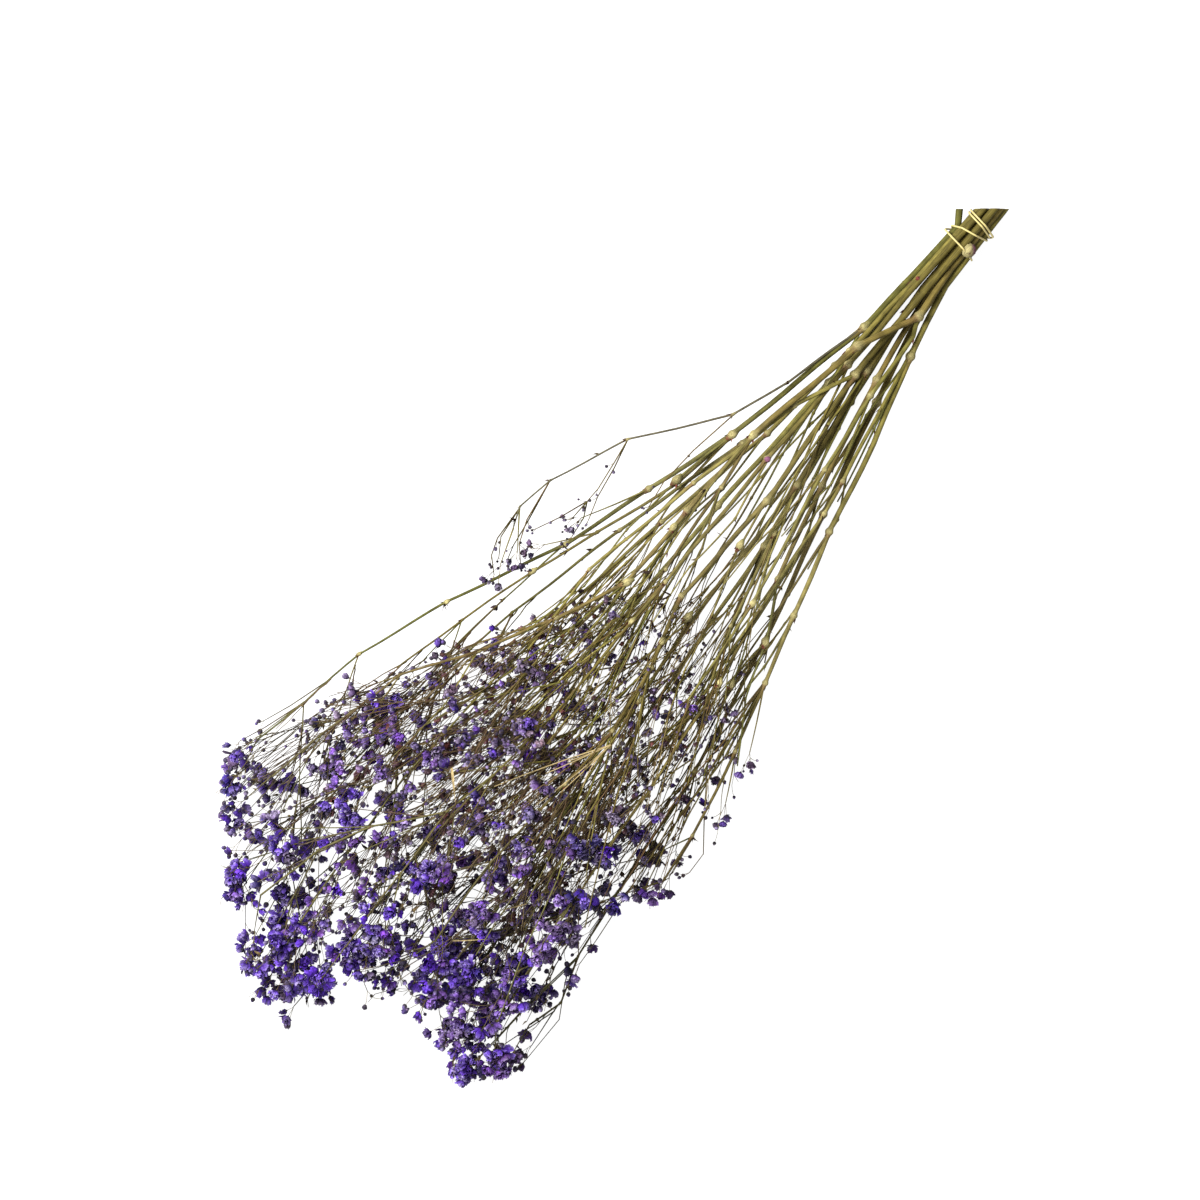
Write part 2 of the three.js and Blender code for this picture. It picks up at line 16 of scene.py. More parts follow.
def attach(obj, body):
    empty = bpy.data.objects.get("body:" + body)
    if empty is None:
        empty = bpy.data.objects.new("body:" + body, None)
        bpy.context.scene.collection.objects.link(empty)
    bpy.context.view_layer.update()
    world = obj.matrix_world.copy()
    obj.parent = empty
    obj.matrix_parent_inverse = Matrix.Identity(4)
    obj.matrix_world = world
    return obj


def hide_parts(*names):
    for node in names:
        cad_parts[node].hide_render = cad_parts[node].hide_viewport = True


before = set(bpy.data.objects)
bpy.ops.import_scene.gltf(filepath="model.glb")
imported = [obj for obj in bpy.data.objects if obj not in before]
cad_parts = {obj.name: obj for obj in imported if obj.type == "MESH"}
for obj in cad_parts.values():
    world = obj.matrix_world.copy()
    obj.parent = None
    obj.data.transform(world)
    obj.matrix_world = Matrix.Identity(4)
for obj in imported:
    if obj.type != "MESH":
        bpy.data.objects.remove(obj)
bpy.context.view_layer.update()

# The part's own dimensions, in millimetres
ORIGIN_SHIFT = np.array([319.9, 1.2, 0.0])
VIEW_COS, VIEW_SIN = 0.657, 0.754  # of the angle that the photograph turns the bunch by
CUT_SLOPE = VIEW_COS / VIEW_SIN
STEM_SIDES = 5
BRANCH_SIDES = 4
TWIG_SIDES = 3
STEM_TAPER = 0.0029
THINNEST_STEM = 0.75
BRANCH_SHARE = 0.72
BRANCH_TAPER = 0.0022
TWIG_RADIUS = 0.62
PEDICEL_RADIUS = 0.5
BIG_KNOT = 1.2
KNOT_SWELL = 1.42
INTERNODE = 46
RING_TURN = 0.3
BLOOM_RADIUS = 3.4
BLOOM_DEPTH = 4.6
LOWEST_BLOOM = 0.6
CLEARANCE = 0.35
OWN_CLEARANCE = 0.15
BLOOM_SMALL = 0.7
TWIGS = 170
TWIG_SPACING = 13
SEED = 20261

# Each stem: its radius at the cut, its points from the cut to the tip, and its branches, each with the
# number of the stem's point that it grows from. A fourth number 1 marks a knot.
STEMS = [
    (2.1,
     [(0, 10.8, 9.7), (-18, 4.6, 9.6), (-60, 5.6, 10.4), (-101, 7.5, 12, 1), (-202, 24.5, 18, 1),
      (-260, 41, 23, 1), (-318, 57, 28, 1), (-391, 88, 35, 1), (-449, 107, 38, 1), (-493, 113, 40, 1),
      (-528, 119, 42)],
     [(3, [(-155, 20, 20.5), (-193, 32, 27, 1), (-246, 70, 36, 1),
          (-295, 89, 42, 1), (-319, 92, 44, 1), (-331, 87, 45)]),
      (4, [(-245, 30, 24, 1), (-300, 47, 36, 1), (-343, 61, 42, 1), (-393, 74, 46, 1),
           (-440, 84, 48)])]),
    (2.2,
     [(0, -7.5, 13.7), (-40, -9, 15), (-75, -13, 20, 1), (-95, -5, 29), (-113, 2.5, 34, 1),
      (-194, 15, 46, 1), (-255, 15, 54, 1), (-311, 14, 66, 1), (-355, 32, 74, 1), (-400, 54, 74, 1),
      (-442, 80, 66, 1), (-500, 92, 58, 1), (-538, 98, 52)],
     [(2, [(-86, -18.5, 18), (-130, -23, 24, 1), (-182, -31, 33, 1), (-270, -51, 52, 1),
           (-340, -60, 66)]),
      (5, [(-231, 9, 48, 1), (-290, 2, 52, 1), (-350, 5, 60)])]),
    (2.25,
     [(0, -5.1, 17.9), (-60, -5.8, 19.2), (-127, -7.5, 25, 1), (-219, -17, 44, 1), (-296, -16, 60, 1),
      (-340, -30, 70, 1), (-384, -38, 79, 1), (-426, -37, 86, 1), (-490, -34, 84, 1), (-548, -40, 74)],
     [(2, [(-138, -1, 30), (-165, 7, 35, 1), (-240, 24, 50, 1), (-320, 36, 60, 1), (-380, 32, 68)]),
      (6, [(-420, -58, 84, 1), (-470, -66, 82)])]),
    (1.95,
     [(0, -0.3, 17.8), (-60, 0.5, 19.4), (-125, -0.5, 25.5, 1), (-200, -1, 44, 1), (-296, -3, 69, 1),
      (-400, -5, 91, 1), (-450, -1, 97, 1), (-484, 5, 99, 1), (-520, 33, 94, 1), (-552, 48, 84, 1),
      (-596, 56, 66)],
     [(7, [(-530, 2, 92, 1), (-585, -2, 76)])]),
    (2.2,
     [(0, -2.7, 13.7), (-60, -4, 14.7), (-120, -11, 18, 1), (-200, -25, 28, 1), (-303, -30, 44, 1),
      (-360, -38, 52, 1), (-420, -46, 58, 1), (-490, -54, 60, 1), (-555, -58, 52)],
     [(3, [(-231, -34, 34, 1), (-290, -50, 46, 1), (-325, -64, 52)])]),
    (1.9,
     [(0, 2.05, 13.7), (-60, 2.5, 14.8), (-118, 4.5, 19, 1), (-188, 9.5, 29, 1), (-270, 22, 42, 1),
      (-345, 32, 52, 1), (-410, 36, 58, 1), (-480, 38, 62, 1), (-540, 34, 60, 1), (-596, 28, 50)],
     []),
    (2.15,
     [(0, -9.8, 9.6), (-50, -13.4, 10.6), (-96, -25, 13, 1), (-150, -43, 18), (-208, -58, 22, 1),
      (-260, -75, 25, 1), (-302, -88, 28, 1), (-345, -102, 30, 1), (-400, -116, 31, 1),
      (-432, -120, 30)],
     [(2, [(-130, -32, 20), (-180, -44, 28, 1), (-202, -48, 31, 1), (-270, -57, 38, 1),
           (-340, -72, 44)])]),
    (2.05,
     [(0, -5.1, 9.6), (-60, -8, 10.4), (-120, -19, 15, 1), (-190, -36, 23, 1), (-250, -53, 32, 1),
      (-325, -68, 45, 1), (-400, -78, 58, 1), (-470, -86, 62, 1), (-520, -94, 54, 1),
      (-560, -100, 44)],
     []),
    (2.2,
     [(0, -7.45, 5.5), (-30, -8.6, 5.6), (-75, -14, 3.4), (-130, -28, 2, 1), (-202, -48, 6, 1),
      (-283, -72, 12, 1), (-370, -92, 18, 1), (-455, -104, 19, 1), (-500, -112, 18, 1),
      (-528, -122, 16, 1), (-550, -117, 15)],
     []),
    (2.15,
     [(0, -2.7, 5.5), (-30, -3.3, 5.6), (-75, -5.6, 3.6), (-140, -16, 2, 1), (-240, -34, 8, 1),
      (-330, -44, 14, 1), (-400, -52, 20, 1), (-470, -60, 20, 1), (-530, -69, 18, 1),
      (-560, -74, 15)],
     []),
    (2.2,
     [(0, 2.05, 5.5), (-30, 1.9, 5.6), (-75, 1.5, 3.6), (-140, 1, 2, 1), (-240, 3, 9, 1),
      (-330, 2, 15, 1), (-400, 5, 21, 1), (-470, 4, 22, 1), (-540, 0, 20, 1), (-612, -2, 14)],
     []),
    (1.85,
     [(0, -0.3, 9.6), (-60, 0.3, 9.8), (-130, 8, 10, 1), (-202, 17, 12, 1), (-290, 38, 17, 1),
      (-370, 54, 20, 1), (-440, 64, 22, 1), (-510, 68, 23, 1), (-545, 70, 20, 1), (-570, 71, 17)],
     []),
]

BAND_RADIUS = 0.6
BAND_SPACE = 0.35
BAND_LIFT = 1.55
BAND_PLACES = [-24.5, -28, -20, -13, -6.6, -10.6, -4.8, -8.8]

HEAD_OUTLINE = [
    (-290, -55), (-296, 16), (-330, 30), (-380, 44), (-402, 66), (-440, 76), (-468, 94), (-490, 112),
    (-530, 122), (-552, 126), (-568, 117), (-582, 106), (-590, 90), (-604, 82), (-618, 74), (-602, 60),
    (-604, 48), (-632, 50), (-642, 38), (-638, 26), (-650, 16), (-640, 4), (-628, -10), (-600, -12),
    (-594, -24), (-590, -40), (-582, -50), (-584, -62), (-574, -70), (-578, -78), (-598, -80),
    (-602, -96), (-600, -112), (-590, -124), (-574, -130), (-540, -118), (-516, -118), (-496, -108),
    (-468, -110), (-448, -112), (-446, -126), (-430, -126), (-416, -108), (-390, -108), (-352, -108),
    (-330, -98), (-306, -78),
]
HEAD_HEIGHT = [(-290, 76), (-350, 92), (-420, 108), (-500, 110), (-560, 100), (-610, 76), (-655, 44)]
HEAD_MIDDLE = -3
HEAD_HALF_WIDTH = 132
RIM = [
    (-644, 15, 22), (-636, 36, 36), (-630, 46, 28), (-612, 68, 30), (-598, 76, 42), (-584, 92, 26),
    (-574, 102, 36), (-560, 114, 34), (-544, 121, 44), (-624, -4, 14), (-618, 12, 34), (-592, -16, 22),
    (-594, -31, 40), (-582, -44, 26), (-580, -58, 44), (-566, -70, 30), (-594, -78, 24),
    (-592, -94, 36), (-596, -107, 18), (-352, 76, 46), (-338, 66, 40), (-312, 60, 40),
    (-586, -121, 26), (-572, -126, 3), (-514, -115, 28), (-476, -108, 24), (-440, -122, 22),
    (-448, -116, 34), (-384, -118, 26), (-352, -109, 34), (-366, -100, 20), (-590, 30, 3),
    (-556, 90, 3), (-430, -60, 3), (-470, 70, 3), (-500, -100, 3),
]


class Rows:
    """Rows of named numbers, filled from the front"""

    def __init__(self, most, **kinds):
        self.every = np.zeros(most, dtype=list(kinds.items()))
        self.count = 0

    def add(self, *row):
        self.every[self.count] = row
        self.count += 1

    def __getitem__(self, name):
        return self.every[name][:self.count]


runs = []  # lengths of wood through some points, as records
forks = []  # places that more can grow from, as records
tips = []
joints = count(1)
# Each leg of wood and each bloom, as a round-ended rod between two joints
rods = Rows(4000, stem=int, a="3f8", b="3f8", radius=float, start=int, end=int)
drawn = SEED


def draw():
    global drawn
    drawn = (drawn * 16807) % 2147483647
    return drawn / 2147483647


def between(low, high):
    return low + (high - low) * draw()


def vec(*numbers):
    return np.array(numbers, dtype=float)


def length_of(v):
    return math.sqrt(float(v @ v))


def unit(v):
    return v / length_of(v)


def inside_outline(x, y):
    inside = False
    for (x1, y1), (x2, y2) in zip(HEAD_OUTLINE, HEAD_OUTLINE[1:] + HEAD_OUTLINE[:1]):
        if (y1 > y) != (y2 > y) and x < ((x2 - x1) * (y - y1)) / (y2 - y1) + x1:
            inside = not inside
    return inside


def head_height(x, y):
    i = 0
    while i < len(HEAD_HEIGHT) - 2 and x < HEAD_HEIGHT[i + 1][0]:
        i += 1
    x1, h1 = HEAD_HEIGHT[i]
    x2, h2 = HEAD_HEIGHT[i + 1]
    share = min(1, max(0, (x - x1) / (x2 - x1)))
    side = min(1, abs(y - HEAD_MIDDLE) / HEAD_HALF_WIDTH)
    return (h1 + (h2 - h1) * share) * (1 - 0.62 * side * side)


def distances(p, q):
    """Smallest distance from the straight piece p to q, to each rod"""
    d1 = q - p
    d2 = rods["b"] - rods["a"]
    r = p - rods["a"]
    a = d1 @ d1
    e = (d2 * d2).sum(1)
    b = d2 @ d1
    c = r @ d1
    f = (d2 * r).sum(1)
    area = a * e - b * b
    apart = area > 1e-6
    s = np.where(apart, np.clip((b * f - c * e) / np.where(apart, area, 1), 0, 1), 0)
    t = np.clip((b * s + f) / e, 0, 1)
    s = np.clip((b * t - c) / a, 0, 1)
    gap = r + d1 * s[:, None] - d2 * t[:, None]
    return np.sqrt((gap * gap).sum(1))


def is_clear(stem, a, b, radius, start, end):
    own = rods["stem"] == stem
    shared = (rods["start"] == start) | (rods["end"] == start) | (rods["start"] == end)
    room = radius + rods["radius"] + np.where(own, OWN_CLEARANCE, CLEARANCE)
    return bool(((own & shared) | (distances(a, b) > room)).all())


def bent_clear(stem, a, b, radius, knot, start):
    """The end of a leg from a, moved sideways from b by the least that clears the leg and its knot"""
    for step in range(9):
        for turn in range(8 if step else 1):
            angle = turn * math.pi / 4 + step
            reach = step * 1.3
            end = vec(b[0], b[1] + math.cos(angle) * reach, b[2] + math.sin(angle) * reach)
            past = end + (a - end) * -0.01
            if end[2] < 0.8 * radius or not is_clear(stem, a, end, radius, start, -1):
                continue
            if is_clear(stem, end, past, knot, start, -1):
                return end
    return None


def cut_at(y):
    return -CUT_SLOPE * y


def new_fork(stem, at, heading, radius, joint, room):
    return Record(stem=stem, at=at, heading=heading, radius=radius, joint=joint, room=room, blooms=[])


def keep_run(stem, points, radii, sides, knots=None, end=None):
    knots = knots or [0] * len(points)
    runs.append(Record(stem=stem, points=points, radii=radii, sides=sides, knots=knots, end=end))


def grow_run(stem, start, joint, route, radius, taper, sides):
    """A stem from the cut, or with a start, one of its branches"""
    points, radii, knots = ([], [], []) if start is None else ([start], [radius], [0])
    last = joint
    for x, y, z, *knot in route:
        thick = radius
        point = vec(cut_at(y), y, z)
        if points:
            before = points[-1]
            thick = max(THINNEST_STEM, radii[-1] - taper * (before[0] - x))
            following = next(joints)
            swollen = thick * (KNOT_SWELL if knot else 1)
            point = bent_clear(stem, before, vec(x, y, z), radii[-1], swollen, last)
            if point is None:
                break
            rods.add(stem, before, point, radii[-1], last, following)
            rods.add(stem, point, point + (before - point) * 0.01, swollen, following, following)
            last = following
        points.append(point)
        radii.append(thick)
        knots.append(len(knot))
        if knot:
            forks.append(new_fork(stem, point, unit(point - before), thick, last, 2))
    if not knots[-1]:
        tips.append(new_fork(stem, points[-1], unit(points[-1] - points[-2]), radii[-1], last, 1))
        forks.append(tips[-1])
    keep_run(stem, points, radii, sides, knots)


def turned(heading, side, angle, bearing):
    """A direction turned from a heading by an angle, at some bearing round it"""
    up = np.cross(heading, side)
    round_it = side * math.cos(bearing) + up * math.sin(bearing)
    return heading * math.cos(angle) + round_it * math.sin(angle)


def bloom_size(x):
    """Share of a bloom's full size, which is least low in the bunch"""
    return BLOOM_SMALL + (1 - BLOOM_SMALL) * min(1, max(0, (-x - 330) / 140))


def grow_bloom(fork, direction, reach):
    stem = fork.stem
    at = fork.at + direction * reach
    size = bloom_size(at[0])
    radius = BLOOM_RADIUS * size
    depth = BLOOM_DEPTH * size
    at[2] = max(at[2], LOWEST_BLOOM * radius)
    neck = at - direction * depth
    middle = at - direction * 0.35 * depth
    end = middle + direction * 0.1
    tip = next(joints)
    clear = is_clear(stem, middle, end, radius, -2, -2)
    if not (clear and is_clear(stem, fork.at, neck, PEDICEL_RADIUS, fork.joint, tip)):
        return False
    rods.add(stem, middle, end, radius, -3, -3)
    rods.add(stem, fork.at, neck, PEDICEL_RADIUS, fork.joint, tip)
    fork.blooms.append((at, direction, size))
    return True


def grow_spray(fork, least, most):
    """Up to three blooms round a twig's end, each where there is room for it"""
    side = unit(np.cross((0.0, 0.0, 1.0), fork.heading))
    for face in range(3):
        for _ in range(7):
            bearing = RING_TURN + (face + 0.5) * 2 * math.pi / 3 + between(-0.45, 0.45)
            direction = turned(fork.heading, side, between(least, most), bearing)
            if grow_bloom(fork, direction, between(9, 17)):
                break
    fork.room = 0


def reachable_forks(place):
    found = []
    for fork in forks:
        toward = place - fork.at
        length = length_of(toward)
        if fork.room > 0 and 16 < length < 150 and toward[0] < -0.6 * length:
            straightness = float(toward @ fork.heading) / length
            if straightness > 0.7:
                found.append((length * (1 + 3.5 * (1 - straightness)), fork))
    found.sort(key=lambda pair: pair[0])
    return [fork for _, fork in found[:7]]


def grow_twig(place):
    """A twig to a place, from the fork that reaches it best, with knots where it is long"""
    for fork in reachable_forks(place):
        stem = fork.stem
        legs = max(1, math.floor(length_of(place - fork.at) / INTERNODE + 0.5))
        radius = max(TWIG_RADIUS, min(fork.radius * 0.8, 1))
        points = [fork.at]
        made = []
        joint = fork.joint
        for leg in range(1, legs + 1):
            aim = fork.at + (place - fork.at) * (leg / legs)
            if leg < legs:
                aim = aim + vec(between(-3, 3), between(-4, 4), between(-4, 4))
            end = bent_clear(stem, points[-1], aim, radius, radius, joint)
            if end is None:
                break
            made.append((points[-1], end, joint, next(joints)))
            points.append(end)
            joint = made[-1][3]
        if len(points) <= legs:
            continue
        fork.room -= 1
        for a, b, start, end in made:
            rods.add(stem, a, b, radius, start, end)
            forks.append(new_fork(stem, b, unit(b - a), radius, end, 1))
        keep_run(stem, points, [radius] * len(points), TWIG_SIDES, end=forks[-1])
        return forks[-1]
    return None


def twig_places():
    """Places for the twigs' ends: those at the rim first, then ones spread through the head"""
    places = [(vec(x + 12, y, z), True) for x, y, z in RIM]
    for _ in range(6000):
        if len(places) == TWIGS:
            break
        at = vec(between(-640, -320), between(-128, 124), between(6, 112))
        x, y, z = at
        crowded = any(length_of(other - at) < TWIG_SPACING for other, _ in places)
        if not crowded and inside_outline(x - 8, y) and z < head_height(x, y) - 6:
            places.append((at, False))
    return sorted(places, key=lambda place: -place[0][0])


def grow_solids():
    """The growth that the solids have, step by step as in the part's source"""
    for stem, (radius, path, _) in enumerate(STEMS):
        grow_run(stem, None, next(joints), path, radius, STEM_TAPER, STEM_SIDES)
    for stem, (_, _, branches) in enumerate(STEMS):
        for number, route in branches:
            start = runs[stem].points[number]
            fork = next(f for f in forks if f.at is start)
            radius = runs[stem].radii[number] * BRANCH_SHARE
            grow_run(stem, start, fork.joint, route, radius, BRANCH_TAPER, BRANCH_SIDES)
    for at, rim in twig_places():
        fork = grow_twig(at)
        if fork:
            grow_spray(fork, 0.25 if rim else 0.4, 0.6 if rim else 0.85)
    for tip in tips:
        if tip.room > 0:
            fork = grow_twig(tip.at + tip.heading * 24)
            if fork:
                grow_spray(fork, 0.35, 0.7)


grow_solids()

# Fine growth: what is too fine for the solids. Its own generator keeps it the same in each run.
rng = np.random.default_rng(7411)
SIDE_BRANCHES = 80
LONG_TWIGS = 800
TANGLE_TWIGS = 600
CORE_TWIGS = 500
CLUSTER_TWIGS = 215
LOOSE_TWIGS = 260
WITHERED_BLOOMS = 620
FLAKES = 900  # shrivelled scraps and bracts on the fine twigs
ANCHOR_STEP = 7.0
FIRST_ANCHOR = -245  # no fine growth nearer to the cut
SIDE_RADIUS = 0.85  # at the start of a side branch
SIDE_END = 0.45
SIDE_SIDES = 6
SIDE_LEG = 42
LONG_RADIUS = 0.52
FINE_RADIUS = 0.3
FINE_END = 0.2
STALK_RADIUS = 0.19
STALK_END = 0.15
BUD_RADIUS = 1.4
BUD_DEPTH = 1.3
CROWN_DEPTH = 1.6  # from a bloom's top to the middle of the room it takes
STRAYS_ON = 2  # the spray that the stray twigs and the scraps belong to
OPEN, HALF, BUD, WITHERED = 0, 1, 2, 3
TIGHT, LOOSE = 4, 2  # most forks in a cluster
TRIES = 6  # at finding room for a bloom
OPEN_SHARE = 0.03, 0.14  # of the blooms between the crowds: low in the head, and at its tips
CROWD_OPEN_SHARE = 0.42, 0.68
HALF_SHARE = 0.08

# The edges of the whole bunch across it, at distances from the cut, as the photograph shows them
BUNCH_EDGES = [
    (100, -37, 8), (120, -44, 14), (144, -50, 22), (168, -56, 32), (192, -63, 50), (216, -72, 67),
    (240, -80, 78), (264, -89, 87), (288, -105, 91), (312, -110, 94), (336, -118, 91), (360, -128, 86),
    (384, -131, 96), (408, -131, 103), (432, -131, 110), (456, -114, 113), (480, -119, 119),
    (504, -126, 128), (528, -130, 130), (552, -131, 128), (576, -130, 110), (600, -113, 82),
    (624, -13, 55), (648, 5, 22),
]

# Where the blooms crowd together, seen from above: the middle and radius of each crowd
CROWDS = [
    (-460, 68, 13), (-474, 60, 9), (-482, 96, 4), (-492, 110, 4), (-480, 70, 8), (-540, 118, 8),
    (-557, 117, 6), (-537, 94, 7), (-532, 76, 5), (-513, 75, 5), (-520, 58, 7), (-472, 37, 9),
    (-459, 43, 7), (-429, 29, 7), (-444, 22, 9), (-572, 101, 4), (-580, 79, 5), (-568, 72, 5),
    (-556, 62, 8), (-548, 49, 6), (-522, 39, 9), (-528, 17, 5), (-538, 25, 4), (-524, -8, 8),
    (-517, -21, 9), (-595, 73, 12), (-612, 68, 6), (-581, 37, 19), (-607, 31, 13), (-598, 40, 12),
    (-524, 34, 10), (-612, 10, 13), (-634, 42, 11), (-638, 26, 8), (-642, 16, 7), (-624, -4, 11),
    (-584, -8, 12), (-562, -6, 7), (-566, 9, 5), (-548, -8, 9), (-550, -36, 14), (-515, -42, 12),
    (-468, -6, 11), (-503, -20, 9), (-495, -34, 13), (-572, -55, 12), (-552, -72, 14), (-498, 29, 9),
    (-412, 38, 8), (-599, -32, 6), (-589, -38, 5), (-594, -16, 9), (-376, 20, 8), (-352, -10, 6),
    (-363, -13, 6), (-377, -8, 7), (-407, 26, 8), (-403, 10, 7), (-408, -3, 9), (-422, 1, 5),
    (-416, -22, 8), (-390, -32, 6), (-332, -45, 8), (-349, -61, 8), (-341, -88, 5), (-360, -110, 7),
    (-383, -106, 9), (-383, -124, 4), (-411, -63, 9), (-409, -78, 7), (-441, -62, 12), (-457, -10, 6),
    (-445, -34, 6), (-415, -101, 8), (-432, -89, 11), (-447, -73, 9), (-477, -56, 9), (-478, -78, 13),
    (-440, -117, 10), (-457, -108, 6), (-492, -73, 8), (-484, -92, 8), (-494, -53, 9), (-506, -79, 10),
    (-507, -99, 9), (-526, -99, 12), (-538, -91, 12), (-515, -117, 5), (-529, -74, 13), (-570, -70, 9),
    (-577, -79, 8), (-594, -78, 8), (-579, -92, 9), (-567, -101, 11), (-592, -97, 10), (-592, -110, 10),
    (-585, -122, 7), (-578, -114, 10), (-537, -113, 6), (-550, -50, 15), (-562, -60, 13),
    (-546, -64, 15), (-570, -14, 8), (-576, -78, 13), (-534, -56, 8), (-520, -88, 12), (-440, -104, 11),
    (-600, 66, 10), (-560, -90, 11), (-520, -106, 12), (-472, -86, 11), (-424, -84, 8), (-580, -46, 8),
    (-515, 46, 8), (-568, 46, 10), (-448, -92, 9), (-522, -78, 11),
]

# Where the twigs are thickest, seen from above: the middle and radius of each place
CORES = [
    (-340, -12, 20), (-380, -20, 24), (-425, 8, 30), (-445, -36, 28), (-446, 18, 18), (-472, 34, 20),
    (-438, -80, 24), (-476, -64, 24), (-500, 12, 22), (-525, -12, 24), (-470, -38, 20), (-520, -62, 18),
    (-478, 92, 14), (-522, 62, 18),
]

# A free sprig beside the head: fine branchlets, each from a place on the wood to its end
SPRIG = [
    [(-246, 70, 36), (-262, 67, 39), (-280, 64, 43), (-290, 64, 45)],
    [(-290, 64, 45), (-297, 64, 47), (-304, 64, 47)],
    [(-290, 64, 45), (-299, 59, 43), (-312, 57, 42)],
    [(-290, 64, 45), (-308, 70, 44), (-322, 76, 46)],
    [(-246, 70, 36), (-264, 65, 37), (-284, 61, 40), (-298, 56, 40)],
    [(-295, 89, 42), (-322, 84, 45), (-336, 78, 46), (-344, 70, 46)],
    [(-295, 89, 42), (-322, 83, 43), (-339, 80, 42), (-348, 77, 43)],
    [(-319, 92, 44), (-342, 90, 46), (-352, 86, 46), (-360, 77, 45)],
    [(-319, 92, 44), (-340, 89, 43), (-350, 82, 42)],
    [(-193, 32, 27), (-225, 36, 36), (-251, 37, 42), (-268, 34, 46)],
]

# Stray twigs along the edges of the bunch, as places seen from above
STRAYS = [
    [(-505, -108), (-517, -116), (-536, -128), (-571, -129)], [(-536, -128), (-568, -113)],
    [(-360, -95), (-386, -113), (-404, -128), (-418, -129)], [(-470, 108), (-500, 118), (-517, 124)],
    [(-490, 108), (-520, 121), (-536, 127)], [(-470, -90), (-500, -112), (-516, -118)],
]

anchors = Rows(30000, stem=int, at="3f8", heading="3f8", radius=float)  # places on wood
crowns = Rows(12000, at="3f8", radius=float)  # the room that each bloom takes
blooms = []  # stem, place, direction, size, kind
stalks = []  # stem, start, bend, end
fine = []  # stem, points, radii


def inside_bunch(at, margin):
    places, low, high = np.array(BUNCH_EDGES, dtype=float).T
    x, y = at[:2]
    return np.interp(-x, places, low) + margin < y < np.interp(-x, places, high) - margin and x > -650


def on_open_side(at):
    """Beside the stems, above the line where the fine growth begins"""
    return at[1] > 4 + (-at[0] - 290) * 0.5


def in_crowd(at):
    x, y = at[:2]
    return any((x - cx) ** 2 + (y - cy) ** 2 < r * r for cx, cy, r in CROWDS)


def last_heading(points):
    return unit(points[-1] - points[-2])


def any_bearing():
    return rng.uniform(0, 2 * math.pi)


def leaning(heading, angle, bearing):
    """A direction leant from a heading, for any heading"""
    least = np.eye(3)[int(np.argmin(np.abs(heading)))]
    return unit(turned(heading, unit(np.cross(heading, least)), angle, bearing))


def splayed(heading, least, most):
    """A direction leant from a heading by an angle in a range, to any side"""
    return leaning(heading, rng.uniform(least, most), any_bearing())


def anchor_runs():
    for run in runs:
        points = run.points
        for i in range(1, len(points)):
            leg = points[i] - points[i - 1]
            steps = max(1, round(length_of(leg) / ANCHOR_STEP))
            for k in range(1, steps + 1):
                at = points[i - 1] + leg * (k / steps)
                if at[0] < FIRST_ANCHOR:
                    anchors.add(run.stem, at, unit(leg), run.radii[i])


def crown_radius(size, kind):
    return size * (BUD_RADIUS if kind == BUD else BLOOM_RADIUS)


def free_of_blooms(at, radius, share):
    gap = crowns["at"] - at
    room = share * (radius + crowns["radius"])
    return bool(((gap * gap).sum(1) > room * room).all())


def add_bloom(stem, at, direction, size, kind):
    blooms.append((stem, at, direction, size, kind))
    crowns.add(at - direction * CROWN_DEPTH * size, crown_radius(size, kind))


def kind_at(at):
    """Mostly buds low in the head and between the crowds, and mostly open blooms in the crowds"""
    low, tips_share = OPEN_SHARE
    openness = min(tips_share, max(low, low + (-at[0] - 400) / 700))
    if in_crowd(at):
        openness = CROWD_OPEN_SHARE[int(at[0] < -500)]
    pick = rng.random()
    if pick < openness:
        return OPEN
    return HALF if pick < openness + HALF_SHARE else BUD


def grow_stalk(stem, start, heading, least, most, reach, kind):
    """One more bloom or bud on its own stalk, where there is room for it"""
    bud = kind == BUD
    for _ in range(TRIES):
        direction = splayed(heading, least, most)
        length = rng.uniform(*reach)
        at = start + direction * length
        size = bloom_size(at[0]) * rng.uniform(0.9, 1.25)
        radius = crown_radius(size, kind)
        at[2] = max(at[2], LOWEST_BLOOM * radius)
        within = inside_bunch(at, 2 if bud else 3.5) and at[2] <= head_height(at[0], at[1]) + 1
        bloomed = bud or inside_outline(at[0] + 1, at[1])
        if within and bloomed and free_of_blooms(at - direction * CROWN_DEPTH * size, radius, 0.72):
            end = at - direction * (BUD_DEPTH if bud else BLOOM_DEPTH) * size
            stalks.append((stem, start, start + (end - start) * 0.5 + heading * 0.1 * length, end))
            add_bloom(stem, at, direction, size, kind)
            return


def grow_cyme(stem, start, heading, count):
    """A tight cluster: short forks from one place, each with its blooms"""
    for _ in range(count):
        kind = kind_at(start)
        if rng.random() < 0.4:
            grow_stalk(stem, start, heading, 0.15, 0.9, (6, 12), kind)
            continue
        direction = splayed(heading, 0.3, 0.7)
        fork_at = start + direction * rng.uniform(4, 8)
        if fork_at[2] >= 1.5:
            stalks.append((stem, start, (start + fork_at) / 2, fork_at))
            grow_stalk(stem, fork_at, direction, 0.1, 0.8, (5, 9), kind)
            grow_stalk(stem, fork_at, direction, 0.3, 1.0, (5, 9), kind_at(start))


def bowed(start, control, end, steps):
    """Points from a start to an end, drawn towards a control point between them"""
    t = np.linspace(0, 1, steps + 1)[:, None]
    return (1 - t) ** 2 * start + 2 * t * (1 - t) * control + t * t * end


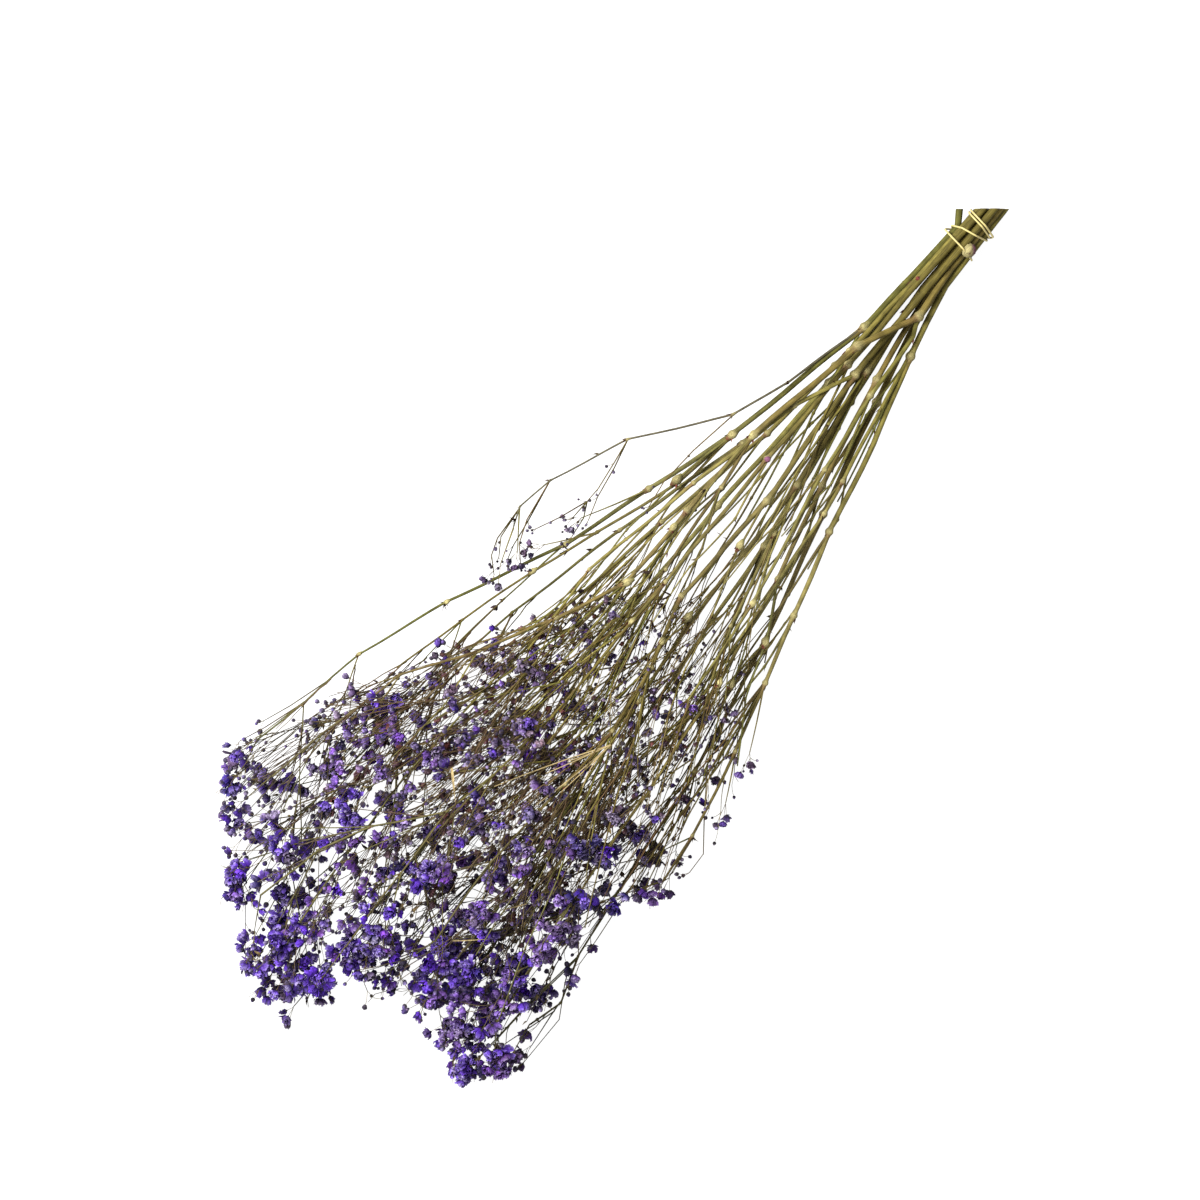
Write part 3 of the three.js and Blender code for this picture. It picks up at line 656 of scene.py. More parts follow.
def grow_fine(target, least, most, first, straightest):
    """A fine branchlet to a target, from the wood that reaches it best"""
    toward = target - anchors["at"]
    length = np.sqrt((toward * toward).sum(1))
    straight = (toward * anchors["heading"]).sum(1) / np.maximum(length, 1e-6)
    cost = length * (1 + 2.5 * (1 - straight)) * rng.uniform(0.85, 1.15, anchors.count)
    cost[(length < least) | (length > most) | (straight < straightest)] = math.inf
    best = int(np.argmin(cost))
    if cost[best] == math.inf:
        return None
    stem, at, heading, radius = anchors.every[best].copy()
    steps = 4 if length[best] < 30 else 7
    control = at + heading * rng.uniform(0.02, 0.3) * length_of(target - at)
    points = bowed(at, control, target, steps)
    points[1:-1] += rng.normal(0, 0.22, (steps - 1, 3))
    points[:, 2] = np.maximum(points[:, 2], 0.4)
    fine.append((stem, points, np.linspace(min(first, radius * 0.85), FINE_END, steps + 1)))
    for i in range(2, steps + 1):
        anchors.add(stem, points[i], unit(points[i] - points[i - 1]), FINE_RADIUS)
    return stem, points


def head_place(x, y):
    return vec(x, y, rng.uniform(3, max(5, head_height(x, y) - 4)))


def spread_targets(count, low, high):
    found = []
    while len(found) < count:
        at = rng.uniform(low, high), rng.uniform(-130, 126)
        inside = inside_outline(at[0] - 3, at[1]) if at[0] < -300 else inside_bunch(at, 12)
        if inside and not on_open_side(at) and (at[1] > -82 or rng.random() < 0.4):
            found.append(head_place(*at))
    return sorted(found, key=lambda at: -at[0])


def crowd_targets(count, circles):
    areas = np.array([r * r for _, _, r in circles], dtype=float)
    found = []
    for pick in rng.choice(len(circles), count, p=areas / areas.sum()):
        x, y, r = circles[pick]
        bearing = any_bearing()
        reach = r * math.sqrt(rng.random())
        found.append(head_place(x + reach * math.cos(bearing), y + reach * math.sin(bearing)))
    return sorted(found, key=lambda at: -at[0])


def side_branch(fork):
    """A thin side branch from a stem's knot, with knots of its own"""
    for _ in range(12):
        direction = splayed(fork.heading, 0.08, 0.3)
        length = rng.uniform(90, 190)
        end = fork.at + direction * length
        if end[0] < -296 and not inside_outline(end[0], end[1]) or on_open_side(end):
            continue
        if not inside_bunch(end, 6) or not 3 < end[2] < 96:
            continue
        steps = max(2, round(length / SIDE_LEG))
        points = [fork.at]
        for k in range(1, steps + 1):
            at = fork.at + direction * (length * k / steps)
            points.append(at + vec(0, rng.uniform(-4, 4), rng.uniform(-3, 3)))
            points[-1][2] = max(points[-1][2], 1.5)
        first = min(SIDE_RADIUS, fork.radius * 0.6)
        keep_run(fork.stem, points, np.linspace(first, SIDE_END, steps + 1), SIDE_SIDES)
        return


def grow_bare(stem, points, thick, thin, least, most):
    """A branchlet through some points, with buds at its end"""
    fine.append((stem, points, np.linspace(thick, thin, len(points))))
    for _ in range(3):
        grow_stalk(stem, points[-1], last_heading(points), least, most, (3, 8), BUD)


def grow_sprig():
    for route in SPRIG:
        points = np.array(route, dtype=float)
        grow_bare(0, points, 0.45, 0.28, 0.3, 1.1)
        for point in points[1:-1]:
            grow_stalk(0, point, last_heading(points), 0.5, 1.1, (4, 9), BUD)


def away_from(x, y):
    """Squares of the distances of all the places on wood from one seen from above"""
    return (anchors["at"][:, 0] - x) ** 2 + (anchors["at"][:, 1] - y) ** 2


def highest_wood(x, y, reach):
    """The highest place on the wood near a place seen from above"""
    near = anchors["at"][away_from(x, y) < reach * reach]
    return near[int(np.argmax(near[:, 2]))]


def grow_strays():
    for route in STRAYS:
        points = np.array([(x, y, max(4, 0.5 * head_height(x, y))) for x, y in route], dtype=float)
        points[0] = anchors["at"][int(np.argmin(away_from(*route[0])))]
        grow_bare(STRAYS_ON, points, 0.42, 0.25, 0.2, 0.9)


def grow_on_solids(ends):
    """Stalks to the solids' own blooms, with more beside them"""
    for end in ends:
        stem = end.stem
        for at, direction, size in end.blooms:
            neck = at - direction * BLOOM_DEPTH * size
            fork_at = end.at + (neck - end.at) * rng.uniform(0.3, 0.6)
            stalks.append((stem, end.at, (end.at + neck) / 2, neck))
            grow_stalk(stem, fork_at, direction, 0.4, 0.9, (6, 10), kind_at(at))
        if in_crowd(end.at):
            grow_cyme(stem, end.at, end.heading, 2)


def grow_long(targets, least, most, straight, budding):
    """Long branchlets, some with a bud at the end"""
    for target in targets:
        made = grow_fine(target, least, most, LONG_RADIUS, rng.uniform(*straight))
        if made and rng.random() < budding:
            stem, points = made
            grow_stalk(stem, points[-1], last_heading(points), 0.1, 0.6, (4, 9), BUD)


def grow_clusters(targets, least, straightest, most):
    """Short branchlets, each with a cluster of blooms at its end, and the loose ones with a bud half way"""
    for target in targets:
        made = grow_fine(target, least, 60, FINE_RADIUS, straightest)
        if made:
            stem, points = made
            grow_cyme(stem, points[-1], last_heading(points), int(rng.integers(most // 2, most + 1)))
            if most == LOOSE:
                middle = points[:len(points) // 2 + 1]
                grow_stalk(stem, middle[-1], last_heading(middle), 0.5, 0.9, (5, 10), BUD)


def add_withered():
    """Brown, withered blooms deep in the bunch, on short stalks"""
    x, y, _ = anchors["at"].T
    deep = np.flatnonzero((x < -330) & (x > -535) & (y < 70) & (y > -85))
    for pick in rng.choice(deep, WITHERED_BLOOMS):
        stem, start, heading, _ = anchors.every[pick].copy()
        direction = splayed(heading, 0.2, 1.2)
        size = bloom_size(start[0]) * rng.uniform(0.85, 1.1)
        at = start + direction * rng.uniform(3, 6)
        at[2] = max(at[2], 2)
        within = at[2] <= 0.75 * head_height(at[0], at[1]) and inside_bunch(at, 6)
        if within and free_of_blooms(at, size * BLOOM_RADIUS, 0.5):
            stalks.append((stem, start, (start + at) / 2, at - direction * 3 * size))
            add_bloom(stem, at, direction, size, WITHERED)


def grow_details():
    ends = [run.end for run in runs if run.end]
    for end in ends:
        for at, direction, size in end.blooms:
            kind = HALF if not in_crowd(at) and rng.random() < 0.35 else OPEN
            add_bloom(end.stem, at, direction, size, kind)
    knots = [fork for fork in forks if fork.radius > 1 and -390 < fork.at[0] < -90
             and fork.at[1] < 30]
    for _ in range(SIDE_BRANCHES):
        side_branch(knots[int(rng.integers(0, len(knots)))])
    anchor_runs()
    grow_sprig()
    grow_strays()
    grow_on_solids(ends)
    grow_long(spread_targets(LONG_TWIGS, -600, -300), 45, 150, (0.86, 0.97), 0.5)
    tangle = spread_targets(TANGLE_TWIGS, -510, -320) + crowd_targets(CORE_TWIGS, CORES)
    grow_long(tangle, 30, 110, (0.82, 0.96), 0.3)
    grow_clusters(crowd_targets(CLUSTER_TWIGS, CROWDS), 8, 0.75, TIGHT)
    grow_clusters(spread_targets(LOOSE_TWIGS, -645, -300), 10, 0.8, LOOSE)
    add_withered()


grow_details()

# Colours, as sRGB numbers from 0 to 255 turned to linear ones, and darkened to suit the bright light
# that the white floor needs
UNDER_LIGHT = 0.46


def colour(*levels):
    share = np.array(levels) / 255
    return np.where(share < 0.04045, share / 12.92, ((share + 0.055) / 1.055) ** 2.4) * UNDER_LIGHT


OLIVE = colour(96, 92, 32)
KHAKI = colour(138, 128, 62)
GREEN = colour(84, 92, 38)
GREY_OLIVE = colour(92, 90, 62)
DUSTY = colour(98, 72, 66)
DRY = colour(166, 154, 118)
BROWN = colour(88, 62, 26)
MAUVE = colour(76, 52, 42)
TAN = colour(134, 116, 74)
PALE_KNOT = colour(180, 168, 116)
PALE_STRAW = colour(168, 148, 104)
COLLAR = colour(110, 54, 44)
PINK = colour(150, 96, 124)
PITH = colour(200, 184, 130)
BRACT = colour(48, 32, 22)
CALYX = colour(50, 44, 46)
VIOLET = colour(74, 33, 156)
DEEP = colour(27, 17, 88)
LILAC = colour(118, 80, 158)
PURPLE = colour(94, 48, 132)
FADED = colour(214, 200, 228)
SLATE = colour(70, 62, 84)
DULL = colour(100, 76, 84)
RUBBER = colour(216, 198, 126)

# The swollen ends of cut side shoots near the band: where, how big, and their colour
KNOBS = [((-25, -9.6, 17), 4.6, PALE_KNOT), ((-58, 2.2, 20.4), 1.5, COLLAR)]
PINK_STUB = (-197, 4)

# Knots that stand out in the photograph: the place along and across the bunch, and the radius
PALE_KNOTS = [
    (-202, 24, 2.9), (-195, 14, 2.6), (-245, 33, 2.9), (-268, 20, 2.3), (-310, 14, 2.8), (-303, -30, 2.7),
    (-322, -30, 2.2), (-251, -18, 2.6), (-271, -51, 2.2), (-282, -77, 2.2), (-314, -79, 2.2),
    (-324, -64, 2.0), (-327, -8, 2.2), (-341, 59, 2.0), (-449, 107, 1.4), (-386, 89, 1.6),
]

# Blades seen in the photograph: where, which way, how long and wide
PALE_BLADES = [
    ((-462, 22), (-16, -17, 0), 23, 1.3), ((-540, -43), (17, -19, -2), 25, 1.2),
    ((-500, -70), (-20, 14, 2), 22, 1.1),
]
# Tufts of dark bracts: where, and how long
DARK_BLADES = [
    ((-318, 58), 9), ((-392, 89), 8), ((-232, 14), 10), ((-328, 93), 5), ((-355, -91), 10),
    ((-300, -6), 11), ((-306, -14), 9), ((-312, 4), 10), ((-322, -10), 8), ((-296, 2), 9),
]
# A fan of pale, bare branchlets that lies over the head: where it starts, and where each one goes
FAN_START = (-385, -41)
FAN = [(-64, 36, 5), (-38, 18, 5), (-41, 4, 4), (-56, 10, 4), (-30, -4, 3), (-24, 13, 5)]

SMOOTH_SIDES = {STEM_SIDES: 12, BRANCH_SIDES: 10, TWIG_SIDES: 5, SIDE_SIDES: 6}
BLADE_ROWS = 5
PETAL_ROWS = 4
WOBBLE = 0.35
TWIG_START = 0.72
TWIG_END = 0.34
SPRIG_START = -155  # the first bend of the free sprig's own branch, along the bunch
WOOD_STEP = 12.0
KNOT_STEPS = (-2.6, -1.4, -0.6, 0, 0.6, 1.4, 2.6)  # places round a knot, in its radii
BIG_SWELL, SWELL = 0.72, 0.55
NO_FACES = np.zeros((0, 3), dtype=int)

# What goes into one mesh is gathered in a list, called a soup: parts with their points, quads, triangles,
# and each point's colour and place in the grain.

def circle(sides):
    angle = 2 * np.pi * np.arange(sides) / sides
    return np.stack([np.cos(angle), np.sin(angle)], 1)


def ring_faces(index):
    """Quads between the rings of points whose numbers are the rows of index"""
    here = index[..., :-1, :]
    there = index[..., 1:, :]
    return np.stack([here, np.roll(here, -1, -1), np.roll(there, -1, -1), there], -1).reshape(-1, 4)


def grid_faces(first, rows):
    """Quads of a strip that has three points in each row"""
    corner = first + np.arange(3 * rows).reshape(rows, 3)[:-1, :2].reshape(-1, 1)
    return corner + np.array([0, 1, 4, 3])


def fan(ring, tip):
    """Triangles from each ring of points to a point of its own"""
    return np.stack([ring, np.roll(ring, -1, -1), np.broadcast_to(tip, ring.shape)], -1).reshape(-1, 3)


def tubes(soup, lines, radii, sides, tints, capped=True):
    """Round lengths of wood. lines is (n, m, 3), radii (n, m) and tints (n, m, 3)."""
    n, m, _ = lines.shape
    ahead = np.empty_like(lines)
    ahead[:, 1:-1] = lines[:, 2:] - lines[:, :-2]
    ahead[:, 0] = lines[:, 1] - lines[:, 0]
    ahead[:, -1] = lines[:, -1] - lines[:, -2]
    ahead /= np.linalg.norm(ahead, axis=2, keepdims=True)
    side = np.cross(ahead[:, 0], np.eye(3)[np.argmin(np.abs(ahead[:, 0]), axis=1)])
    turn = circle(sides)
    rings = np.empty((n, m, sides, 3))
    grain = np.empty((n, m, sides, 3))
    steps = np.linalg.norm(np.diff(lines, axis=1), axis=2)
    along = np.concatenate([np.zeros((n, 1)), np.cumsum(steps, 1)], 1)
    offset = rng.uniform(0, 900, (n, 1))
    for i in range(m):
        side = side - (side * ahead[:, i]).sum(1, keepdims=True) * ahead[:, i]
        side /= np.linalg.norm(side, axis=1, keepdims=True)
        up = np.cross(ahead[:, i], side)
        out = turn[None, :, 0, None] * side[:, None] + turn[None, :, 1, None] * up[:, None]
        rings[:, i] = lines[:, i, None] + out * radii[:, i, None, None]
        grain[:, i, :, 0] = along[:, i, None] + offset
        grain[:, i, :, 1:] = turn[None] * radii[:, i, None, None]
    index = np.arange(n * m * sides).reshape(n, m, sides)
    points = rings.reshape(-1, 3)
    shade = np.repeat(tints[:, :, None], sides, 2).reshape(-1, 3)
    grains = grain.reshape(-1, 3)
    triangles = NO_FACES
    if capped:
        triangles = fan(index[:, -1], (n * m * sides + np.arange(n))[:, None])
        points = np.concatenate([points, lines[:, -1] + ahead[:, -1] * radii[:, -1:] * 0.6])
        shade = np.concatenate([shade, tints[:, -1]])
        grains = np.concatenate([grains, grain[:, -1, 0]])
    soup.append((points, ring_faces(index), triangles, shade, grains))
    return rings


def tube(soup, line, radii, sides, tints, capped=True):
    return tubes(soup, line[None], radii[None], sides, tints[None], capped)[0]


def mix(a, b, share):
    share = np.asarray(share)[..., None]
    return a * (1 - share) + b * share


def depth_shade(places):
    """Painted shade deep in the bunch, where the growth above keeps the light off, and painted light near
    its top
    """
    heads = np.array([head_height(x, y) for x, y, _ in places])
    share = np.clip(places[:, 2] / (0.8 * heads), 0, 1)
    inside = np.clip((-places[:, 0] - 290) / 60, 0, 1)
    return 1 + inside * (0.72 * share - 0.52)


def painted_head_shade(places):
    """Painted shade: darker wood in the head, in the thick of the blooms"""
    return 1 - 0.14 * np.clip((-places[:, 0] - 390) / 40, 0, 1)


def is_sprig(run):
    return run.stem == 0 and run.points[1][0] == SPRIG_START


def smooth_run(run):
    """A run's middle line and radii, close together at its knots, how far along it they are, and its
    swellings"""
    points = np.array(run.points)
    radii = np.array(run.radii, dtype=float)
    ends = np.concatenate([[0], np.cumsum(np.linalg.norm(np.diff(points, axis=0), axis=1))])
    total = ends[-1]
    places = list(np.arange(0, total, WOOD_STEP)) + [total]
    swells = []
    for i in range(1, len(points) - 1):
        if run.knots[i] or run.sides in (TWIG_SIDES, SIDE_SIDES):
            swells.append((ends[i], radii[i], BIG_SWELL if radii[i] > BIG_KNOT else SWELL))
            places += [ends[i] + k * radii[i] for k in KNOT_STEPS]
        else:
            places.append(ends[i])
    places = np.unique(np.round(np.clip(places, 0, total), 2))
    line = np.stack([np.interp(places, ends, points[:, k]) for k in range(3)], 1)
    taper = np.interp(places, ends, radii)
    if run.sides == TWIG_SIDES:
        taper = np.interp(places, [0, total], [min(radii[0], TWIG_START), TWIG_END])
    taper = taper * np.interp(-line[:, 0], [250, 450], [1, 0.76])
    if is_sprig(run):
        taper = taper * 0.62
    phase = rng.uniform(0, 6, 2)
    calm = np.clip((-line[:, 0] - 45) / 30, 0, 1)
    line[:, 1] += calm * WOBBLE * np.sin(places * 0.09 + phase[0])
    line[:, 2] += calm * WOBBLE * np.sin(places * 0.11 + phase[1])
    return line, taper, places, swells


def wood_profile(run):
    """A run's middle line, its radii with the knots swollen, and its colours"""
    line, taper, places, swells = smooth_run(run)
    age = np.clip((-line[:, 0] - 200) / 260, 0, 1)
    fresh = mix(mix(OLIVE, KHAKI, rng.random()), GREEN, max(0, rng.uniform(-0.8, 0.6)))
    base = mix(fresh, mix(BROWN, MAUVE, rng.random() * age),
               np.clip(age * rng.uniform(-0.4, 0.6) + rng.uniform(0, 0.75) ** 1.6, 0, 1))
    base = mix(base, GREY_OLIVE, 0.55 * np.clip((-line[:, 0] - 420) / 80, 0, 1))
    base = mix(base, DRY, 0.16 * np.exp(-((line[:, 0] + 250) / 75) ** 2))
    # Painted shade deep in the bunch and in the thick of the blooms, and painted light near the top of the
    # head
    base = base * depth_shade(line)[:, None] * painted_head_shade(line)[:, None]
    if is_sprig(run):
        base = mix(base, SLATE, 0.4)
    pale = np.zeros(len(places))
    red = np.zeros(len(places))
    for place, radius, swell in swells:
        gap = (places - place) / radius
        taper = taper * (1 + swell * np.exp(-(gap / 1.2) ** 2))
        if radius > 0.9 and run.sides in (STEM_SIDES, BRANCH_SIDES):
            pale = np.maximum(pale, 0.7 * np.exp(-(gap / 1.7) ** 2))
            red = np.maximum(red, rng.uniform(0, 0.9) * np.exp(-((gap - 1.9) / 0.8) ** 2))
    return line, taper, mix(mix(base, PALE_KNOT, pale), COLLAR, red)


def build_fine(soup, points, radii):
    """One fine branchlet, mauve or grey in places"""
    share = rng.uniform(0, 1)
    tint = mix(mix(OLIVE, TAN, share ** 1.5), BROWN, rng.uniform(0, 0.75))
    mauve = 0.45 * np.exp(-((points[:, 0] + 450) / 60) ** 2)
    grey = np.clip((-points[:, 0] - 470) / 60, 0, 1) * 0.35
    tints = mix(mix(np.tile(tint, (len(points), 1)), DUSTY, mauve), SLATE, grey)
    # Painted shade deep in the bunch and in the thick of the blooms, and painted light near the top of the
    # head; the last factor is random tone
    tints = tints * (depth_shade(points) * painted_head_shade(points))[:, None] * rng.uniform(0.6, 1.2)
    tube(soup, points, radii, 4, tints)


def build_wood(soup, stem):
    for run in runs:
        if run.stem == stem:
            line, radii, tints = wood_profile(run)
            rings = tube(soup, line, radii, SMOOTH_SIDES[run.sides], tints)
            if run.sides == STEM_SIDES:
                add_cut(soup, rings[0])
    for own, points, radii in fine:
        if own == stem:
            build_fine(soup, points, radii)
    start, bend, end = np.array([stalk[1:] for stalk in stalks if stalk[0] == stem]).swapaxes(0, 1)
    lines = bowed(start[:, None], (2 * bend - (start + end) / 2)[:, None], end[:, None], 3)
    radii = np.repeat(np.linspace(STALK_RADIUS, STALK_END, 4)[None], len(lines), 0)
    tints = mix(mix(OLIVE, TAN, rng.random(len(lines))), MAUVE, rng.random(len(lines)) * 0.8)
    tubes(soup, lines, radii, 3, np.repeat(tints[:, None], 4, 1), capped=False)


def blade(soup, root, heading, length, width, droop, tint):
    """A narrow dried leaf or bract: a curled, folded strip that ends in a point"""
    side = unit(np.cross(heading, leaning(heading, 1.2, any_bearing())))
    lift = np.cross(side, heading)
    points = []
    for t in np.linspace(0, 1, BLADE_ROWS):
        along = t * length * (1 - 0.25 * abs(droop) * t)
        middle = root + heading * along + lift * (droop * t * t * length)
        half = width / 2 * (1 - t ** 1.6) * (0.6 + 0.8 * math.sin(math.pi * min(1, t + 0.2)))
        fold = lift * (half * 0.45)
        points += [middle - side * half + fold, middle, middle + side * half + fold]
    points = np.array(points)
    points[:, 2] = np.maximum(points[:, 2], 0.1)
    shade = np.tile(tint * rng.uniform(0.7, 1.2), (len(points), 1))
    soup.append((points, grid_faces(0, BLADE_ROWS), NO_FACES, shade, points * 0.5))


def grow_blades(soup, stem):
    """Pairs of withered leaves at the knots and bends"""
    for run in runs:
        if run.stem != stem:
            continue
        points = run.points
        for i in range(1, len(points) - 1):
            if not run.knots[i] and rng.random() < 0.4:
                continue
            radius = run.radii[i]
            thick = radius > 1
            bearing = any_bearing()
            for k in range(2):
                direction = leaning(unit(points[i] - points[i - 1]), 0.5, bearing + math.pi * k)
                length = rng.uniform(2.5, 5.5) if thick else rng.uniform(1.4, 4)
                tint = mix(BRACT, COLLAR, rng.random() * 0.7)
                root = points[i] + direction * radius * 0.9
                blade(soup, root, direction, length, 1.5 if thick else 0.8, rng.uniform(-0.4, 0.4), tint)


def top_wood(x, y):
    """The highest wood near a place seen from above, and its direction"""
    found = []
    for run in runs:
        for a, b in zip(run.points, run.points[1:]):
            leg = b - a
            share = ((x - a[0]) * leg[0] + (y - a[1]) * leg[1]) / (leg[0] ** 2 + leg[1] ** 2)
            at = a + leg * np.clip(share, 0, 1)
            if (at[0] - x) ** 2 + (at[1] - y) ** 2 < 36 and run.sides != TWIG_SIDES:
                found.append((at[2], list(at), list(unit(leg))))
    _, at, heading = max(found) if found else (0, [x, y, 8], [-1, 0, 0])
    return vec(*at), vec(*heading)


def add_pale_knot(soup, x, y, radius):
    """A swollen, pale knot on the highest wood near a place, with a ragged dark collar"""
    at, heading = top_wood(x, y)
    steps = np.linspace(-1, 1, 9)
    line = at + heading * steps[:, None] * radius * 1.7
    line[:, 2] = np.maximum(line[:, 2], radius)
    swell = 0.9 * radius * (0.42 + 0.58 * np.cos(steps * 1.45) ** 1.5) * rng.uniform(0.93, 1.07, 9)
    red = np.clip(steps * 2.5 - 1.2, 0, 1) * rng.uniform(0.2, 0.9)
    tints = mix(mix(PALE_KNOT, OLIVE, np.abs(steps) ** 1.5 * 0.9), COLLAR, red)
    tube(soup, line, swell, 12, tints)
    for _ in range(3):
        direction = leaning(heading, 0.6, any_bearing())
        blade(soup, at + direction * radius * 0.9, direction, radius * 1.3, 1.2, 0.3, COLLAR)


def add_knob(soup, at, radius, tint):
    """A rounded stub with a pink and brown end"""
    rings = 8
    sides = 12
    axis = unit(vec(-0.3, -0.5, 0.8))
    side = unit(np.cross(axis, vec(1, 0, 0)))
    up = np.cross(axis, side)
    points = []
    tints = []
    for i in range(rings):
        angle = math.pi * (0.08 + 0.84 * i / (rings - 1))
        for c, s in circle(sides):
            reach = radius * math.sin(angle) * rng.uniform(0.88, 1.08)
            out = side * c + up * s
            points.append(at + out * reach + axis * (radius * 0.9 * math.cos(angle)))
            pink = np.clip(3 * (out[0] * VIEW_COS - out[1] * VIEW_SIN) * math.sin(angle) - 1, 0, 1)
            tints.append(mix(tint, mix(PINK, COLLAR, rng.random() * 0.7), pink))
    points = np.array(points + [at + axis * radius * 0.9, at - axis * radius * 0.9])
    index = np.arange(rings * sides).reshape(rings, sides)
    top = fan(index[0], rings * sides)[:, [2, 0, 1]]
    bottom = fan(index[-1], rings * sides + 1)[:, ::-1]
    soup.append((points, ring_faces(index)[:, [0, 3, 2, 1]], np.concatenate([top, bottom]),
                 np.array(tints + [COLLAR, tint]), points * 0.6))


def grow_scraps(soup):
    for (x, y), toward, length, width in PALE_BLADES:
        start = highest_wood(x, y, 9)
        blade(soup, start, unit(vec(*toward)), length, width, rng.uniform(-0.05, 0.05), PALE_STRAW)
    for at, radius, tint in KNOBS:
        add_knob(soup, vec(*at), radius, tint)
    add_knob(soup, top_wood(*PINK_STUB)[0] + vec(0, 0, 1), 2, PINK)
    start = highest_wood(*FAN_START, 8)
    for toward in FAN:
        steps = np.linspace(0, 1, 6)[:, None]
        line = start + steps * vec(*toward) + steps * (1 - steps) * rng.normal(0, 2.5, 3)
        tube(soup, line, np.linspace(0.5, 0.28, 6), 5, np.tile(PALE_STRAW, (6, 1)))
    for x, y, radius in PALE_KNOTS:
        add_pale_knot(soup, x, y, radius)
    for (x, y), length in DARK_BLADES:
        at, _ = top_wood(x, y)
        for _ in range(5):
            heading = splayed(vec(-1, 0, 0.2), 0.2, 1.4)
            blade(soup, at, heading, length * rng.uniform(0.6, 1.3), 1.2, rng.uniform(-1.2, 1.2), BRACT)


def add_flakes(soup, stem):
    for pick in rng.choice(np.flatnonzero(anchors["stem"] == stem), FLAKES // len(STEMS)):
        heading = splayed(anchors["heading"][pick], 0.3, 1.2)
        tint = mix(BRACT, TAN, rng.random() ** 2)
        blade(soup, anchors["at"][pick], heading, rng.uniform(2, 6), rng.uniform(0.7, 1.8),
              rng.uniform(-0.9, 0.9), tint)


def add_cut(soup, ring):
    """The slanting cut across the stem that was added last, with its pale pith"""
    sides = len(ring)
    cut = ring.copy()
    cut[:, 0] = cut_at(cut[:, 1])
    soup[-1][0][:sides] = cut
    middle = cut.mean(0)
    points = np.concatenate([cut, middle + (cut - middle) * 0.72, [middle]])
    index = np.arange(2 * sides).reshape(2, sides)
    tints = np.concatenate([np.tile(BROWN, (sides, 1)), np.tile(PITH, (sides + 1, 1))])
    pith = fan(index[1], 2 * sides)[:, ::-1]
    soup.append((points, ring_faces(index)[:, ::-1], pith, tints, points * 0.3))


def petal(length, width, leans, bearing, base):
    """One crinkled petal"""
    last = PETAL_ROWS - 1
    step = length / last
    out = base + np.concatenate([[0], np.cumsum(np.sin(leans[1:]) * step)])
    up = np.concatenate([[0], np.cumsum(np.cos(leans[1:]) * step)])
    half = width / 2 * np.array([0.35, 0.85, 1.0, 0.78]) * rng.uniform(0.88, 1.12)
    cup = (0, 0.1, 0.3, 0.35)
    points = []
    for i, lean in enumerate(leans):
        for u in (-1, 0, 1):
            ruffle = rng.normal(0, 0.42) * (i / last) - cup[i] * (abs(u) - 0.4)
            notch = -0.3 if (i == last and u == 0) else rng.normal(0, 0.12)
            r = out[i] + notch * math.sin(lean) + ruffle * math.cos(lean)
            z = up[i] + notch * math.cos(lean) - ruffle * math.sin(lean)
            points.append((r * math.cos(bearing) - u * half[i] * math.sin(bearing),
                           r * math.sin(bearing) + u * half[i] * math.cos(bearing), z))
    return np.array(points)


def make_bloom(layers, calyx_radius):
    """A bloom with its axis along +Z and its top near the origin: points, quads, triangles, how far
    along its petal each point is, which is -1 on the calyx, and a shade for each point"""
    points = []
    quads = []
    shade = []
    petals = 0
    for number, length, width, base, bottom, leans in layers:
        start = rng.uniform(0, 2 * math.pi)
        for k in range(number):
            bearing = start + 2 * math.pi * k / number + rng.normal(0, 0.14)
            size = rng.uniform(0.74, 1.16)
            curl = rng.normal(0, 0.34) * np.array([0, 0.3, 0.8, 1.6])
            made = petal(length * size, width * size, np.array(leans) + curl, bearing, base)
            points.append(made + (0, 0, bottom))
            quads.append(grid_faces(petals * 3 * PETAL_ROWS, PETAL_ROWS))
            shade.append(rng.uniform(-1, 1) + rng.uniform(-0.7, 0.7, len(made)))
            petals += 1
    rings = ((-4.6, 0.3), (-3.8, calyx_radius * 0.9), (-3.0, calyx_radius))
    calyx = np.array([(r * c, r * s, z) for z, r in rings for c, s in circle(5)])
    quads.append(ring_faces(petals * 3 * PETAL_ROWS + np.arange(15).reshape(3, 5)))
    along = np.tile(np.repeat(np.linspace(0, 1, PETAL_ROWS), 3), petals)
    return (np.concatenate([*points, calyx]), np.concatenate(quads), NO_FACES,
            np.concatenate([along, np.full(15, -1.0)]), np.concatenate([*shade, np.zeros(15)]))


def make_bud():
    """A round bud, ribbed by its five sepals, with a little colour at its tip, like a bloom's parts"""
    sides = 10
    rings = ((-1.35, 0.25), (-1.0, 0.85), (-0.2, 1.2), (0.6, 1.02), (1.15, 0.55))
    points = []
    for z, r in rings:
        for k, (c, s) in enumerate(circle(sides)):
            reach = r * (1.1 if k % 2 else 0.92) * rng.uniform(0.94, 1.06)
            points.append((reach * c, reach * s, z))
    points = np.array(points + [(rng.normal(0, 0.1), rng.normal(0, 0.1), 1.5)])
    index = np.arange(len(rings) * sides).reshape(-1, sides)
    height = np.clip((points[:, 2] + 1) / 2.5, 0, 1)
    return points, ring_faces(index), fan(index[-1], index.size), height, None


